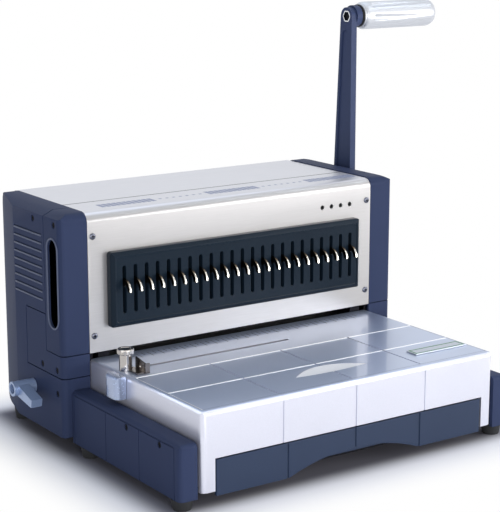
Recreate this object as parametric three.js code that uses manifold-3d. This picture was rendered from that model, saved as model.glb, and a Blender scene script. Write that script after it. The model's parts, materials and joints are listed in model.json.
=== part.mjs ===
// A manual punch and binding machine: a punch tower between two side covers, a feed bed with a chip drawer in
// front of it, and one tall lever with a turning grip on the right.
// Millimetres, +X right, +Y back, +Z up. The floor is Z = 0, the front panel stands on Y = 0.
import * as THREE from 'three';
import { mergeVertices } from 'three/addons/utils/BufferGeometryUtils.js';
import Module from 'manifold-3d';

const wasm = await Module();
wasm.setup();

// Clearances
const seat = 0.3; // between pieces that rest on or are fixed to each other
const running = 0.25; // around shafts, rods and slides
const pastFace = 2; // how far a cut runs past a face

// Facets of round shapes, and a quarter turn in degrees
const fineSides = 24;
const roundSides = 16;
const smallSides = 10;
const hexSides = 6;
const cornerSteps = 3;
const quarter = 90;

// Punching pattern: one pin, one hole, one slot and one hook for each place
const pattern = { pitch: 12.7, sideMargin: 34.8, pinWidth: 6.2, pinDepth: 5, pinLine: 20 };

// Tower: the steel box behind the front panel
const tower = {
  halfWidth: 174.5,
  depth: 160,
  aboveBed: 6.5,
  aboveComb: 40,
  sheet: 1.5,
  bendRadius: 9,
  rearBend: 6,
  stripDepth: 53,
  seam: 0.6,
  rearFlange: 33,
};

// Side covers of the tower
const cover = {
  width: 30.2,
  rise: 1,
  bottom: 15,
  wall: 3,
  seam: 0.9,
  bevelWidth: 11,
  bevelDrop: 5,
  frontRadius: 6,
  slantLength: 60,
  slantRear: 20,
  rearNarrowing: 18,
  frontTopRadius: 9,
  rearTopRadius: 14,
  rearBottomRadius: 8,
  frontBottomRadius: 2,
  columnDepth: 33,
  middleRise: 37,
  middleBack: 75.6,
  middleDrop: 22,
  slotFront: 5.5,
  slotBack: 27,
  slotRise: 26,
  slotDrop: 24,
  louvres: 9,
  louvrePitch: 8.1,
  louvreDrop: 23.5,
  louvreWidth: 1.6,
  louvreDepth: 1.2,
  louvreFront: 38,
  louvreBack: 98,
  screwRadius: 3.4,
  screwDepth: 1.8,
  screwInset: 12.5,
  upperScrewDrop: 11,
  rearScrewBehindSeam: 23,
  middleScrewRise: 6.5,
  middleScrewBack: 31,
  lowScrewDrop: 17.4,
};

// Front housings beside the bed
const housing = {
  bedGap: 3.2,
  width: 18.8,
  frontInset: 1.8,
  bottom: 10.6,
  top: 63.6,
  wall: 3,
  edgeRadius: 5,
  seamShares: [0.0225, 0.335, 0.645, 0.9525],
  seamWidth: 1,
  seamDepth: 1,
  seamDrop: 3.3,
  screwShares: [0.53, 0.827],
  screwHeight: 55.8,
};

// Feed bed
const bed = {
  sideInset: 0.5,
  front: 201.8,
  back: 2.7,
  top: 91.5,
  bottom: 15,
  wall: 2.5,
  edgeRadius: 5,
  cornerRadius: 6,
  grooveWidth: 1.6,
  grooveDepth: 1,
  rowInset: 65.3,
  rowBack: 78.3,
  edgeLine: 4.6,
  recessHalfLength: 43,
  recessInset: 38.8,
  recessBack: 19,
  recessFront: 3,
  recessDepth: 1.5,
  ribThickness: 3,
  ribDrop: 17,
  ribWidth: 14,
};

// Bare name plate on the bed
const plate = { sideInset: 8, width: 66, frontInset: 31.8, depth: 15.5, thickness: 1.2 };

// Base plate and feet
const base = {
  bottom: 18,
  thickness: 2.4,
  frontInset: 6.3,
  backInset: 10,
  edgeClearance: 0.6,
  cornerWidth: 10,
  cornerLength: 24,
};
const foot = { topRadius: 10.5, floorRadius: 8.5, stemRadius: 5, hollowDepth: 2, rim: 2.5 };
const footLines = { frontInset: 12, middle: 20, rearInset: 32, housingInset: 9.5, coverInset: 19.5 };

// Frame plates inside the tower
const frame = {
  thickness: 2.5,
  inset: 1.8,
  front: 3,
  flangeWidth: 14.7,
  flangeThickness: 2,
  flangeTopDrop: 10,
};

// Comb plate on the front panel and the window behind it
const comb = {
  sideInset: 20.5,
  proud: 10.6,
  bevel: 3.5,
  cornerRadius: 3,
  rim: 1.5,
  rimHeight: 0.8,
  slotWidth: 4,
  aboveHooks: 13.3,
  belowHooks: 35.3,
  slotMargin: 13.7,
  windowMargin: 4,
};

// Hook bar behind the window
const hooks = {
  barFront: 8,
  barDepth: 8,
  barHeight: 12,
  barClearance: 4.3,
  sideInset: 9.8,
  thickness: 2,
  rootHeight: 8,
  reach: 11.5,
  drop: 12,
  tipThickness: 5,
  startTurn: 15,
  rodRadius: 2.5,
  rodInset: 5,
  tabHeight: 4,
  tabDepth: 4,
  tabReach: 22,
  travelUp: 12,
  travelDown: 18,
};

// Peep holes above the comb plate
const peep = { holes: 4, pitch: 12.2, sideInset: 28.3, rise: 15, radius: 2.5, strip: 1, margin: 6 };

// Panel screws
const panelScrew = { inset: 5.5, rise: 17, drop: 23, headRadius: 3.3, headHeight: 1.2, shankRadius: 1.5 };

// Die, stripper and the beam that carries them
const die = {
  back: 32,
  thickness: 12,
  sideInset: 10.5,
  throat: 5,
  stripperThickness: 5,
  footWidth: 13,
  beamThickness: 8,
  beamBack: 60,
  chipSlotMargin: 4,
};

// Punch carriage
const punch = {
  pinRest: 1,
  barDepth: 10,
  barRise: 14.5,
  barHeight: 17,
  barOverhang: 3,
  plateThickness: 5,
  sideInset: 10.5,
  postInset: 16.5,
  postY: 47,
  postRadius: 4,
  postRise: 42,
};

// Return springs round the guide posts
const spring = { meanRadius: 6.4, wireRadius: 0.8, turns: 6, stepsPerTurn: 10, wireSides: 5 };

// Rack and pinion drives: teeth, module, and shares of the module for the teeth
const pressureAngle = THREE.MathUtils.degToRad(25);
const addendumShare = 0.87;
const dedendumShare = 1.2;
const slackShare = 0.17;
const drive = {
  teeth: 12,
  module: 1.5,
  width: 10,
  sideInset: 54.5,
  shaftY: 94.5,
  shaftDrop: 40,
  shaftRadius: 6,
  rackThickness: 7.7,
  rackDrop: 16,
  rackTeethBelow: 2,
  rackTeethAbove: 4,
  leftOverrun: 1.5,
  bushRadius: 9,
  bushFlange: 12,
  bushFlangeThickness: 2,
};

// Margin knob, shaft and paper backstop
const margin = {
  teeth: 12,
  module: 1,
  width: 8,
  sideInset: 54.5,
  shaftBehindBeam: 3.6,
  shaftBelowBeam: 16.5,
  shaftRadius: 4,
  rackHeight: 5.3,
  rackTeethEachSide: 3,
  legDepth: 8,
  legGap: 2,
  stopFront: 25,
  stopThickness: 3.4,
  stopGap: 6,
  knobRadius: 7.5,
  knobLength: 24.2,
  knobHollowRadius: 5,
  knobHollowDepth: 8,
  lugReach: 35,
  lugThickness: 12,
  lugRootHalfHeight: 6,
  lugTipHalfHeight: 4,
  lugSlopeDegrees: 13,
};

// Lever, outside the right cover
const lever = {
  coverGap: 2.3,
  thickness: 7.4,
  hubRadius: 16,
  endRadius: 10,
  length: 208.1,
  lean: 5.5,
  pocketRim: 3.5,
  pocketDepth: 1.5,
  pocketFromHub: 34,
  pocketFromEnd: 22,
  hubBossRadius: 13,
  hubBoss: 8,
  shaftSetback: 1,
  bossRadius: 12,
  boss: 10,
};

// Grip and its bolt
const grip = {
  length: 102.7,
  radius: 15.5,
  neckRadius: 13.4,
  neckLength: 1.5,
  shoulder: 5,
  domeLength: 9,
  domeRadius: 11,
  flutes: 6,
  fluteDepth: 1.3,
  boreRadius: 4.5,
  endWall: 6,
  boltRadius: 4,
  boltHeadRadius: 6.5,
  boltHead: 3.5,
  socketRadius: 3.6,
  socketDepth: 2.4,
  boltTipGap: 3,
};

// Chip drawer and its runners
const drawer = {
  sideInset: 16,
  traySetback: 4,
  back: 45,
  height: 22,
  wall: 2,
  frontBottom: 10,
  frontRise: 2,
  frontThickness: 3.4,
  frontInset: 0.3,
  openingClearance: 1.5,
  seamWidth: 2,
  seamDepth: 1.2,
  archHalfWidth: 78,
  archRise: 15,
  archSteps: 12,
  runnerWidth: 3.4,
  runnerHeight: 7,
  runnerInset: 11.8,
};

// Side guide on the bed
const guide = {
  sideInset: 11.5,
  y: 49,
  slotWidth: 5,
  slotEndGap: 0.5,
  slotLength: 199,
  neckHalfLength: 6,
  blockHalfLength: 7,
  blockHalfDepth: 12,
  blockHeight: 13,
  stemRadius: 6.5,
  stemHeight: 15.5,
  studRadius: 2.5,
  studHeight: 4,
  knobRadius: 9.5,
  knobHeight: 5.4,
  knobNotches: 24,
  notchShare: 0.06,
  fenceOffset: 7.9,
  fenceAhead: 24,
  fenceSetback: 5,
  fenceThickness: 1.4,
  fenceRearHeight: 13,
  fenceFrontHeight: 10,
  fenceTab: 5,
  footSetback: 1,
  railRadius: 3,
  railOffset: 6,
  railDrop: 11.5,
  railOverrun: 16,
  capWidth: 11,
  capAhead: 15,
  capBehind: 9,
  capHeight: 22,
  capRadius: 6,
  capTopRadius: 5,
};

// Helpers that build closed solids

function solidFrom(geometry) {
  const bare = geometry.clone();
  bare.deleteAttribute('normal');
  bare.deleteAttribute('uv');
  const merged = mergeVertices(bare);
  const triangles = [];
  const index = merged.index.array;
  for (let i = 0; i < index.length; i += 3) {
    const [a, b, c] = [index[i], index[i + 1], index[i + 2]];
    if (a !== b && b !== c && c !== a) triangles.push(a, b, c);
  }
  return new wasm.Manifold(
    new wasm.Mesh({
      numProp: 3,
      vertProperties: new Float32Array(merged.attributes.position.array),
      triVerts: new Uint32Array(triangles),
    }),
  );
}

function geometryFrom(solid) {
  const mesh = solid.getMesh();
  const geometry = new THREE.BufferGeometry();
  geometry.setAttribute('position', new THREE.BufferAttribute(new Float32Array(mesh.vertProperties), 3));
  geometry.setIndex(new THREE.BufferAttribute(new Uint32Array(mesh.triVerts), 1));
  geometry.computeVertexNormals();
  return geometry;
}

function mirrored(solid) {
  const mesh = solid.getMesh();
  const positions = new Float32Array(mesh.vertProperties);
  for (let i = 0; i < positions.length; i += 3) positions[i] *= -1;
  const triangles = new Uint32Array(mesh.triVerts);
  for (let i = 0; i < triangles.length; i += 3) {
    [triangles[i], triangles[i + 1]] = [triangles[i + 1], triangles[i]];
  }
  return new wasm.Manifold(new wasm.Mesh({ numProp: 3, vertProperties: positions, triVerts: triangles }));
}

const alongX = new THREE.Matrix4().makeBasis(
  new THREE.Vector3(0, 1, 0),
  new THREE.Vector3(0, 0, 1),
  new THREE.Vector3(1, 0, 0),
);
const alongY = new THREE.Matrix4().makeBasis(
  new THREE.Vector3(1, 0, 0),
  new THREE.Vector3(0, 0, 1),
  new THREE.Vector3(0, -1, 0),
);

// An outline swept along one axis: (Y, Z) pairs along X, (X, Z) pairs along Y, (X, Y) pairs along Z
function prism(axis, outline, low, high) {
  const shape = new THREE.Shape(outline.map(([u, v]) => new THREE.Vector2(u, v)));
  const geometry = new THREE.ExtrudeGeometry(shape, { depth: high - low, bevelEnabled: false });
  geometry.translate(0, 0, axis === 'Y' ? -high : low);
  if (axis === 'X') geometry.applyMatrix4(alongX);
  if (axis === 'Y') geometry.applyMatrix4(alongY);
  return solidFrom(geometry);
}

function block(left, right, front, back, bottom, top) {
  const geometry = new THREE.BoxGeometry(right - left, back - front, top - bottom);
  geometry.translate((left + right) / 2, (front + back) / 2, (bottom + top) / 2);
  return solidFrom(geometry);
}

function circle(a, b, radius, sides) {
  return Array.from({ length: sides }, (_, i) => {
    const angle = ((i + 0.5) / sides) * 2 * Math.PI;
    return [a + radius * Math.cos(angle), b + radius * Math.sin(angle)];
  });
}

// A straight round bar along one axis through the point (a, b) of the other two
function rod(axis, a, b, radius, low, high, sides = fineSides) {
  return prism(axis, circle(a, b, radius, sides), low, high);
}

// The radius of a faceted hole that a faceted bar of this radius can turn in
function holeFor(radius, clearance, sides = fineSides) {
  return (radius + clearance) / Math.cos(Math.PI / sides);
}

// An arc from one angle to another, in degrees, as points
function arc(a, b, radius, from, to, steps = cornerSteps) {
  return Array.from({ length: steps + 1 }, (_, i) => {
    const angle = THREE.MathUtils.degToRad(from + ((to - from) * i) / steps);
    return [a + radius * Math.cos(angle), b + radius * Math.sin(angle)];
  });
}

// A rectangle whose corners are rounded by their own radii, from the low-low corner anticlockwise
function roundedRectangle(left, right, low, high, radii) {
  const corners = [
    [left, low, 1, 1],
    [right, low, -1, 1],
    [right, high, -1, -1],
    [left, high, 1, -1],
  ];
  return corners.flatMap(([u, v, towardsU, towardsV], i) => {
    const radius = radii[i];
    if (radius === 0) return [[u, v]];
    const start = (2 + i) * quarter;
    return arc(u + towardsU * radius, v + towardsV * radius, radius, start, start + quarter);
  });
}

// A closed skin over a row of rings that all have the same number of points
function loft(rings) {
  const sides = rings[0].length;
  const positions = rings.flat().flatMap((point) => [point.x, point.y, point.z]);
  const index = [];
  for (let ring = 0; ring + 1 < rings.length; ring += 1) {
    for (let i = 0; i < sides; i += 1) {
      const next = (i + 1) % sides;
      const [a, b] = [ring * sides + i, ring * sides + next];
      const [c, d] = [a + sides, b + sides];
      index.push(a, b, d, a, d, c);
    }
  }
  const last = (rings.length - 1) * sides;
  for (let i = 1; i + 1 < sides; i += 1) {
    index.push(0, i + 1, i);
    index.push(last, last + i, last + i + 1);
  }
  const geometry = new THREE.BufferGeometry();
  geometry.setAttribute('position', new THREE.Float32BufferAttribute(positions, 3));
  geometry.setIndex(index);
  return solidFrom(geometry);
}

// A turned piece: its profile holds pairs of place along the axis and radius
function turned(axis, a, b, profile, sides = fineSides) {
  return loft(
    profile.map(([place, radius]) =>
      circle(a, b, radius, sides).map(([u, v]) =>
        axis === 'X' ? new THREE.Vector3(place, u, v) : new THREE.Vector3(u, v, place),
      ),
    ),
  );
}

function unionOf(solids) {
  return solids.reduce((sum, solid) => sum.add(solid));
}

function cut(solid, tools) {
  return tools.length ? solid.subtract(unionOf(tools)) : solid;
}

const patternSteps = Math.round((2 * (tower.halfWidth - pattern.sideMargin)) / pattern.pitch);
const patternHalf = (patternSteps * pattern.pitch) / 2;

function patternPlaces() {
  return Array.from({ length: patternSteps + 1 }, (_, i) => i * pattern.pitch - patternHalf);
}

// Involute teeth round a pinion whose gap faces each multiple of the tooth angle
function pinionOutline(a, b, teeth, module) {
  const pitchRadius = (module * teeth) / 2;
  const baseRadius = pitchRadius * Math.cos(pressureAngle);
  const tipRadius = pitchRadius + addendumShare * module;
  const rootRadius = pitchRadius - dedendumShare * module;
  const involute = (angle) => Math.tan(angle) - angle;
  const halfTooth = (module * (Math.PI / 2 - slackShare)) / (2 * pitchRadius);
  const halfAt = (radius) => halfTooth + involute(pressureAngle) - involute(Math.acos(baseRadius / radius));
  const middleRadius = (baseRadius + tipRadius) / 2;
  const flank = [baseRadius, middleRadius, tipRadius].map((radius) => [radius, halfAt(radius)]);
  flank.unshift([rootRadius, flank[0][1]]);
  const outline = [];
  for (let tooth = 0; tooth < teeth; tooth += 1) {
    const centre = ((tooth + 0.5) / teeth) * 2 * Math.PI;
    const rising = flank.map(([radius, half]) => [radius, centre - half]);
    const falling = [...flank].reverse().map(([radius, half]) => [radius, centre + half]);
    for (const [radius, angle] of [...rising, ...falling]) {
      outline.push([a + radius * Math.cos(angle), b + radius * Math.sin(angle)]);
    }
  }
  return outline;
}

// Rack teeth as pairs of place along the rack and height above its pitch line
function rackProfile(centre, module, teethBelow, teethAbove) {
  const half = (module * (Math.PI / 2 - slackShare)) / 2;
  const slope = Math.tan(pressureAngle);
  const [tip, root] = [addendumShare * module, dedendumShare * module];
  const points = [];
  for (let tooth = -teethBelow; tooth <= teethAbove; tooth += 1) {
    const place = centre + tooth * Math.PI * module;
    points.push([place - half - root * slope, -root], [place - half + tip * slope, tip]);
    points.push([place + half - tip * slope, tip], [place + half + root * slope, -root]);
  }
  return points;
}

// Places that several pieces share, from the base upwards
const baseTop = base.bottom + base.thickness;
const onBase = baseTop + seat;
const drawerTop = onBase + drawer.height + drawer.frontRise;
const dieBottom = bed.top - die.thickness;
const beamTop = dieBottom - seat;
const beamBottom = beamTop - die.beamThickness;
const marginZ = beamBottom - margin.shaftBelowBeam;
const guideTop = bed.top + seat;
const stripperBottom = bed.top + die.throat;
const stripperTop = stripperBottom + die.stripperThickness;
const barBottom = stripperTop + punch.barRise;
const barTop = barBottom + punch.barHeight;
const carriageBottom = barTop - punch.plateThickness;
const hookBarCentre = barTop + hooks.travelDown + hooks.barClearance + hooks.barHeight / 2;
const hooksTop = hookBarCentre + (hooks.barHeight + hooks.rootHeight) / 2 - seat;
const slotBottom = hooksTop - comb.belowHooks;
const slotTop = hooksTop + comb.aboveHooks;
const combBottom = slotBottom - comb.slotMargin;
const combTop = slotTop + comb.slotMargin;
const towerBottom = bed.top + tower.aboveBed;
const towerTop = combTop + tower.aboveComb;
const underTop = towerTop - tower.sheet;
const coverTop = towerTop + cover.rise;
const middleTop = towerBottom + cover.middleRise;
const middleBottom = towerBottom - cover.middleDrop;
const driveZ = towerTop - drive.shaftDrop;
const gripZ = driveZ + lever.length;
const railZ = bed.top - guide.railDrop;

// From the middle outwards
const plateOuter = tower.halfWidth - frame.inset;
const plateInner = plateOuter - frame.thickness;
const beamHalf = plateInner - seat;
const dieHalf = tower.halfWidth - die.sideInset;
const carriageHalf = tower.halfWidth - punch.sideInset;
const postX = tower.halfWidth - punch.postInset;
const hookBarHalf = tower.halfWidth - hooks.sideInset;
const rodX = hookBarHalf - hooks.rodInset;
const drivePlace = tower.halfWidth - drive.sideInset;
const marginPlace = tower.halfWidth - margin.sideInset;
const coverInner = tower.halfWidth + seat;
const coverOuter = coverInner + cover.width;
const bedHalf = tower.halfWidth - bed.sideInset;
const frontHalf = bedHalf - drawer.sideInset;
const trayHalf = frontHalf - drawer.traySetback;
const housingInner = bedHalf + housing.bedGap;
const housingOuter = housingInner + housing.width;
const baseHalf = housingOuter - housing.wall - base.edgeClearance;
const guideX = -bedHalf + guide.sideInset;
const guideSlotLeft = guideX - guide.neckHalfLength - guide.slotEndGap;
const guideSlotRight = guideSlotLeft + guide.slotLength;
const railRight = guideSlotRight + guide.railOverrun;
const armLeft = coverOuter + lever.coverGap;
const armRight = armLeft + lever.thickness;
const gripLeft = armRight + lever.boss + seat;

// From the front backwards
const housingFront = -bed.front + housing.frontInset;
const baseFront = -bed.front + base.frontInset;
const railY = -guide.y - guide.railOffset;
const rodY = hooks.barFront + hooks.barDepth / 2;
const barBack = pattern.pinLine + punch.barDepth / 2;
const plateBack = tower.depth - tower.sheet - seat;
const rackPitchY = drive.shaftY - (drive.module * drive.teeth) / 2;
const rackRootY = rackPitchY - dedendumShare * drive.module;
const marginY = die.beamBack + margin.shaftBehindBeam;
const gripY = drive.shaftY - lever.lean;

// The body of one side cover, drawn in by the inset for its hollow
function coverForm(inset) {
  const hollow = inset > 0;
  const inner = hollow ? coverInner - pastFace : coverInner;
  const shoulder = coverOuter - cover.bevelWidth;
  const around = cover.frontRadius;
  const plan = [
    [inner, inset],
    ...arc(coverOuter - around, around, around - inset, -quarter, 0),
    [coverOuter - inset, tower.depth - cover.slantLength],
    [shoulder - inset, tower.depth - cover.slantRear],
    [coverOuter - cover.rearNarrowing - inset, tower.depth - inset],
    [inner, tower.depth - inset],
  ];
  const low = hollow ? cover.bottom - pastFace : cover.bottom;
  const face = [
    [inner, low],
    [coverOuter - inset, low],
    [coverOuter - inset, coverTop - cover.bevelDrop - inset],
    [shoulder, coverTop - inset],
    [inner, coverTop - inset],
  ];
  const radii = hollow
    ? [0, 0, cover.rearTopRadius - inset, cover.frontTopRadius - inset]
    : [cover.frontBottomRadius, cover.rearBottomRadius, cover.rearTopRadius, cover.frontTopRadius];
  const profile = roundedRectangle(inset, tower.depth - inset, low, coverTop - inset, radii);
  return prism('Z', plan, low, coverTop)
    .intersect(prism('Y', face, 0, tower.depth))
    .intersect(prism('X', profile, inner, coverOuter));
}

// The space that lets the base plate pass under a wall of a cover or housing
function basePassage(inner, front, back) {
  return block(inner - pastFace, baseHalf + seat, front, back, 0, onBase);
}

// A round recess for a screw head in an outer side face
function coverRecess(y, z, outer) {
  return rod('X', y, z, cover.screwRadius, outer - cover.screwDepth, outer + pastFace, smallSides);
}

// Three pieces of one side cover: the front column, the lower middle piece and the main piece round them
function coverPieces(withSlot, shaftHoles) {
  const passage = basePassage(coverInner, -pastFace, cover.wall + pastFace);
  const shell = cut(coverForm(0), [coverForm(cover.wall), passage]);
  const [inner, outer] = [coverInner - pastFace, coverOuter + pastFace];
  const [columnY, middleY] = [cover.columnDepth, cover.middleBack];
  const front = -pastFace;
  const above = coverTop + pastFace;
  const joint = cover.seam;
  const column = block(inner, outer, front, columnY, towerBottom + joint, above);
  const middle = block(inner, outer, front, middleY, middleBottom, towerBottom).add(
    block(inner, outer, columnY + joint, middleY, middleBottom, middleTop),
  );
  const kept = block(inner, outer, front, columnY + joint, towerBottom, above).add(
    block(inner, outer, front, middleY + joint, middleBottom - joint, middleTop + joint),
  );
  const upperScrew = coverTop - cover.upperScrewDrop;
  const middleScrew = middleBottom + cover.middleScrewRise;
  const recess = (y, z) => coverRecess(y, z, coverOuter);
  const columnCuts = [recess(cover.screwInset, upperScrew)];
  if (withSlot) columnCuts.push(coverSlot());
  const middleCuts = [
    recess(cover.screwInset, middleScrew),
    recess(cover.screwInset + cover.middleScrewBack, middleScrew),
  ];
  const mainCuts = [
    recess(columnY + cover.rearScrewBehindSeam, upperScrew),
    recess(cover.screwInset, middleBottom - cover.lowScrewDrop),
    ...louvreCuts(),
    ...shaftHoles,
  ];
  return {
    front: cut(shell.intersect(column), columnCuts),
    middle: cut(shell.intersect(middle), middleCuts),
    main: cut(shell.subtract(kept), mainCuts),
  };
}

// The tall slot with round ends in the left front column
function coverSlot() {
  const radius = (cover.slotBack - cover.slotFront) / 2;
  const corners = [radius, radius, radius, radius];
  const [low, high] = [towerBottom + cover.slotRise, towerTop - cover.slotDrop];
  const outline = roundedRectangle(cover.slotFront, cover.slotBack, low, high, corners);
  return prism('X', outline, coverInner, coverOuter + pastFace);
}

function louvreCuts() {
  const low = coverOuter - cover.louvreDepth;
  return Array.from({ length: cover.louvres }, (_, i) => {
    const z = towerTop - cover.louvreDrop - i * cover.louvrePitch;
    const half = cover.louvreWidth / 2;
    return block(low, coverOuter + pastFace, cover.louvreFront, cover.louvreBack, z - half, z + half);
  });
}

// A front housing: a rounded shell, open below, with seam lines and screw recesses on its outer face
function housingSolid() {
  const back = -cover.seam;
  const radius = housing.edgeRadius;
  const form = (inset, low) => {
    const [inner, outer] = [housingInner + inset, housingOuter - inset];
    const [front, top] = [housingFront + inset, housing.top - inset];
    const around = radius - inset;
    const plan = roundedRectangle(inner, outer, front, back - inset, [0, around, 0, 0]);
    const face = roundedRectangle(inner, outer, low, top, [0, 0, around, 0]);
    const profile = roundedRectangle(front, back - inset, low, top, [0, 0, 0, around]);
    return prism('Z', plan, low, top)
      .intersect(prism('Y', face, front, back))
      .intersect(prism('X', profile, inner, outer));
  };
  const outer = housingOuter;
  const half = housing.seamWidth / 2;
  const depth = outer - housing.seamDepth;
  const [seamLow, seamHigh] = [housing.bottom - pastFace, housing.top - housing.seamDrop];
  const seamPlaces = housing.seamShares.map((share) => share * housingFront);
  const seams = seamPlaces.map((y) =>
    block(depth, outer + pastFace, y - half, y + half, seamLow, seamHigh),
  );
  const [seamFront, seamBack] = [Math.min(...seamPlaces) - half, Math.max(...seamPlaces) + half];
  const topSeam = block(depth, outer + pastFace, seamFront, seamBack, seamHigh - 2 * half, seamHigh);
  const recesses = housing.screwShares.map((share) =>
    coverRecess(share * housingFront, housing.screwHeight, outer),
  );
  const hollow = form(housing.wall, housing.bottom - pastFace);
  const passage = basePassage(housingInner, baseFront - seat, 0);
  return cut(form(0, housing.bottom), [hollow, passage, topSeam, ...seams, ...recesses]);
}

// The bed: a rounded shell, open below and behind, with an opening for the drawer front
function bedSolid() {
  const form = (inset, low, back) => {
    const half = bedHalf - inset;
    const [front, top] = [-bed.front + inset, bed.top - inset];
    const corner = bed.cornerRadius - inset;
    const edge = bed.edgeRadius - inset;
    return prism('Z', roundedRectangle(-half, half, front, back, [corner, corner, 0, 0]), low, top)
      .intersect(prism('Y', roundedRectangle(-half, half, low, top, [0, 0, edge, edge]), front, back))
      .intersect(prism('X', roundedRectangle(front, back, low, top, [0, 0, 0, edge]), -half, half));
  };
  const halfSlot = guide.slotWidth / 2;
  const hollow = form(bed.wall, bed.bottom - pastFace, bed.back + pastFace);
  const shell = form(0, bed.bottom, bed.back).subtract(hollow);
  const ribTop = bed.top - bed.wall / 2;
  const ribLeft = railRight - bed.ribThickness;
  const [ribFront, ribBack] = [railY - bed.ribWidth / 2, railY + bed.ribWidth / 2];
  const rib = block(ribLeft, railRight, ribFront, ribBack, bed.top - bed.ribDrop, ribTop);
  const railBore = holeFor(guide.railRadius, seat, smallSides);
  const past = bedHalf + pastFace;
  const [slotFront, slotBack] = [-guide.y - halfSlot, -guide.y + halfSlot];
  const [slotLow, slotHigh] = [bed.top - bed.wall - pastFace, bed.top + pastFace];
  const opening = frontHalf + drawer.openingClearance;
  const openingTop = drawerTop + drawer.openingClearance;
  const cuts = [
    block(-opening, opening, -bed.front - pastFace, -bed.front + bed.cornerRadius, 0, openingTop),
    block(-past, past, baseFront - seat, bed.back + pastFace, 0, onBase),
    block(guideSlotLeft, guideSlotRight, slotFront, slotBack, slotLow, slotHigh),
    rod('X', railY, railZ, railBore, -past, railRight + pastFace, smallSides),
    recessCut(),
    ...bedGrooves(),
  ];
  return cut(shell.add(rib), cuts);
}

// The shallow thumb recess, a lens with a flat front edge
function recessCut() {
  const half = bed.recessHalfLength;
  const bow = (depth, way) => {
    const radius = (half * half + depth * depth) / (2 * depth);
    const reach = THREE.MathUtils.radToDeg(Math.asin(half / radius));
    const middle = way * quarter;
    return arc(0, way * (depth - radius), radius, middle - reach, middle + reach, drawer.archSteps);
  };
  const back = bow(bed.recessBack, 1);
  const front = bow(bed.recessFront, -1).slice(1, -1);
  const outline = [...back, ...front].map(([x, y]) => [x, y - bed.front + bed.recessInset]);
  return prism('Z', outline, bed.top - bed.recessDepth, bed.top + pastFace);
}

function bedGrooves() {
  const half = bed.grooveWidth / 2;
  const [low, high] = [bed.top - bed.grooveDepth, bed.top + pastFace];
  const side = bedHalf - bed.edgeLine;
  const front = -bed.front + bed.edgeLine + bed.edgeLine / 2;
  const faceDepth = -bed.front + bed.grooveDepth;
  const rows = [-bed.front + bed.rowInset, -bed.rowBack];
  const columns = [-side / 2, 0, side / 2];
  return [
    ...rows.map((y) => block(-side, side, y - half, y + half, low, high)),
    ...columns.map((x) => block(x - half, x + half, front, -bed.rowBack, low, high)),
    ...columns.map((x) => {
      const face = drawerTop - pastFace;
      return block(x - half, x + half, -bed.front - pastFace, faceDepth, face, bed.top - bed.edgeRadius);
    }),
  ];
}

// The base plate, with its rear corners cut off inside the side covers
function basePlateSolid() {
  const corner = baseHalf - base.cornerWidth;
  const back = tower.depth - base.backInset;
  const side = back - base.cornerLength;
  const outline = [
    [-baseHalf, baseFront],
    [baseHalf, baseFront],
    [baseHalf, side],
    [corner, back],
    [-corner, back],
    [-baseHalf, side],
  ];
  return prism('Z', outline, base.bottom, baseTop);
}

// A foot: a cone with a hollow floor face and a stem up to the base plate
function footSolid(x, y, coneTop) {
  const cone = turned('Z', x, y, [
    [0, foot.floorRadius],
    [coneTop, foot.topRadius],
  ], roundSides);
  const stem = rod('Z', x, y, foot.stemRadius, coneTop - seat, base.bottom - seat, roundSides);
  const hollow = rod('Z', x, y, foot.floorRadius - foot.rim, -pastFace, foot.hollowDepth, roundSides);
  return cone.add(stem).subtract(hollow);
}

// A frame plate with the flange that the front panel is screwed to
function framePlate(cuts) {
  const corners = [0, 0, tower.rearBend, tower.bendRadius];
  const profile = roundedRectangle(frame.front, plateBack, onBase, underTop - seat, corners);
  const web = prism('X', profile, plateInner, plateOuter);
  const panelBack = tower.sheet + seat;
  const flange = block(
    plateOuter - frame.flangeWidth,
    plateOuter,
    panelBack,
    panelBack + frame.flangeThickness,
    stripperTop + seat,
    underTop - frame.flangeTopDrop,
  );
  return cut(web.add(flange), [...screwHoles(), ...cuts]);
}

function screwHoles() {
  const x = tower.halfWidth - panelScrew.inset;
  return [towerBottom + panelScrew.rise, towerTop - panelScrew.drop].map((z) => {
    const radius = holeFor(panelScrew.shankRadius, seat, smallSides);
    return rod('Y', x, z, radius, -pastFace, frame.front + frame.flangeThickness + pastFace, smallSides);
  });
}

// The bent front panel: upright face, bend and top strip, with its window and holes
function frontPanelSolid() {
  const [t, r] = [tower.sheet, tower.bendRadius];
  const profile = [
    [0, towerBottom],
    [t, towerBottom],
    ...arc(r, towerTop - r, r - t, 2 * quarter, quarter),
    [tower.stripDepth, underTop],
    [tower.stripDepth, towerTop],
    ...arc(r, towerTop - r, r, quarter, 2 * quarter),
  ];
  const sheet = prism('X', profile, -tower.halfWidth, tower.halfWidth);
  const half = tower.halfWidth - comb.sideInset - comb.windowMargin;
  const [low, high] = [combBottom + comb.windowMargin, combTop - comb.windowMargin];
  const window = block(-half, half, -pastFace, t + pastFace, low, high);
  const peeps = peepPlaces().map((x) =>
    rod('Y', x, combTop + peep.rise, peep.radius, -pastFace, t + pastFace, roundSides),
  );
  const holes = screwHoles();
  return cut(sheet, [window, ...peeps, ...holes, ...holes.map(mirrored)]);
}

// The peep holes, counted back from the right edge of the panel
function peepPlaces() {
  return Array.from({ length: peep.holes }, (_, i) => tower.halfWidth - peep.sideInset - i * peep.pitch);
}

// The strip behind the peep holes
function peepStripSolid() {
  const places = peepPlaces();
  const [left, right] = [places[places.length - 1] - peep.margin, places[0] + peep.margin];
  const [front, middle] = [tower.sheet + seat, combTop + peep.rise];
  return block(left, right, front, front + peep.strip, middle - peep.margin, middle + peep.margin);
}

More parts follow.
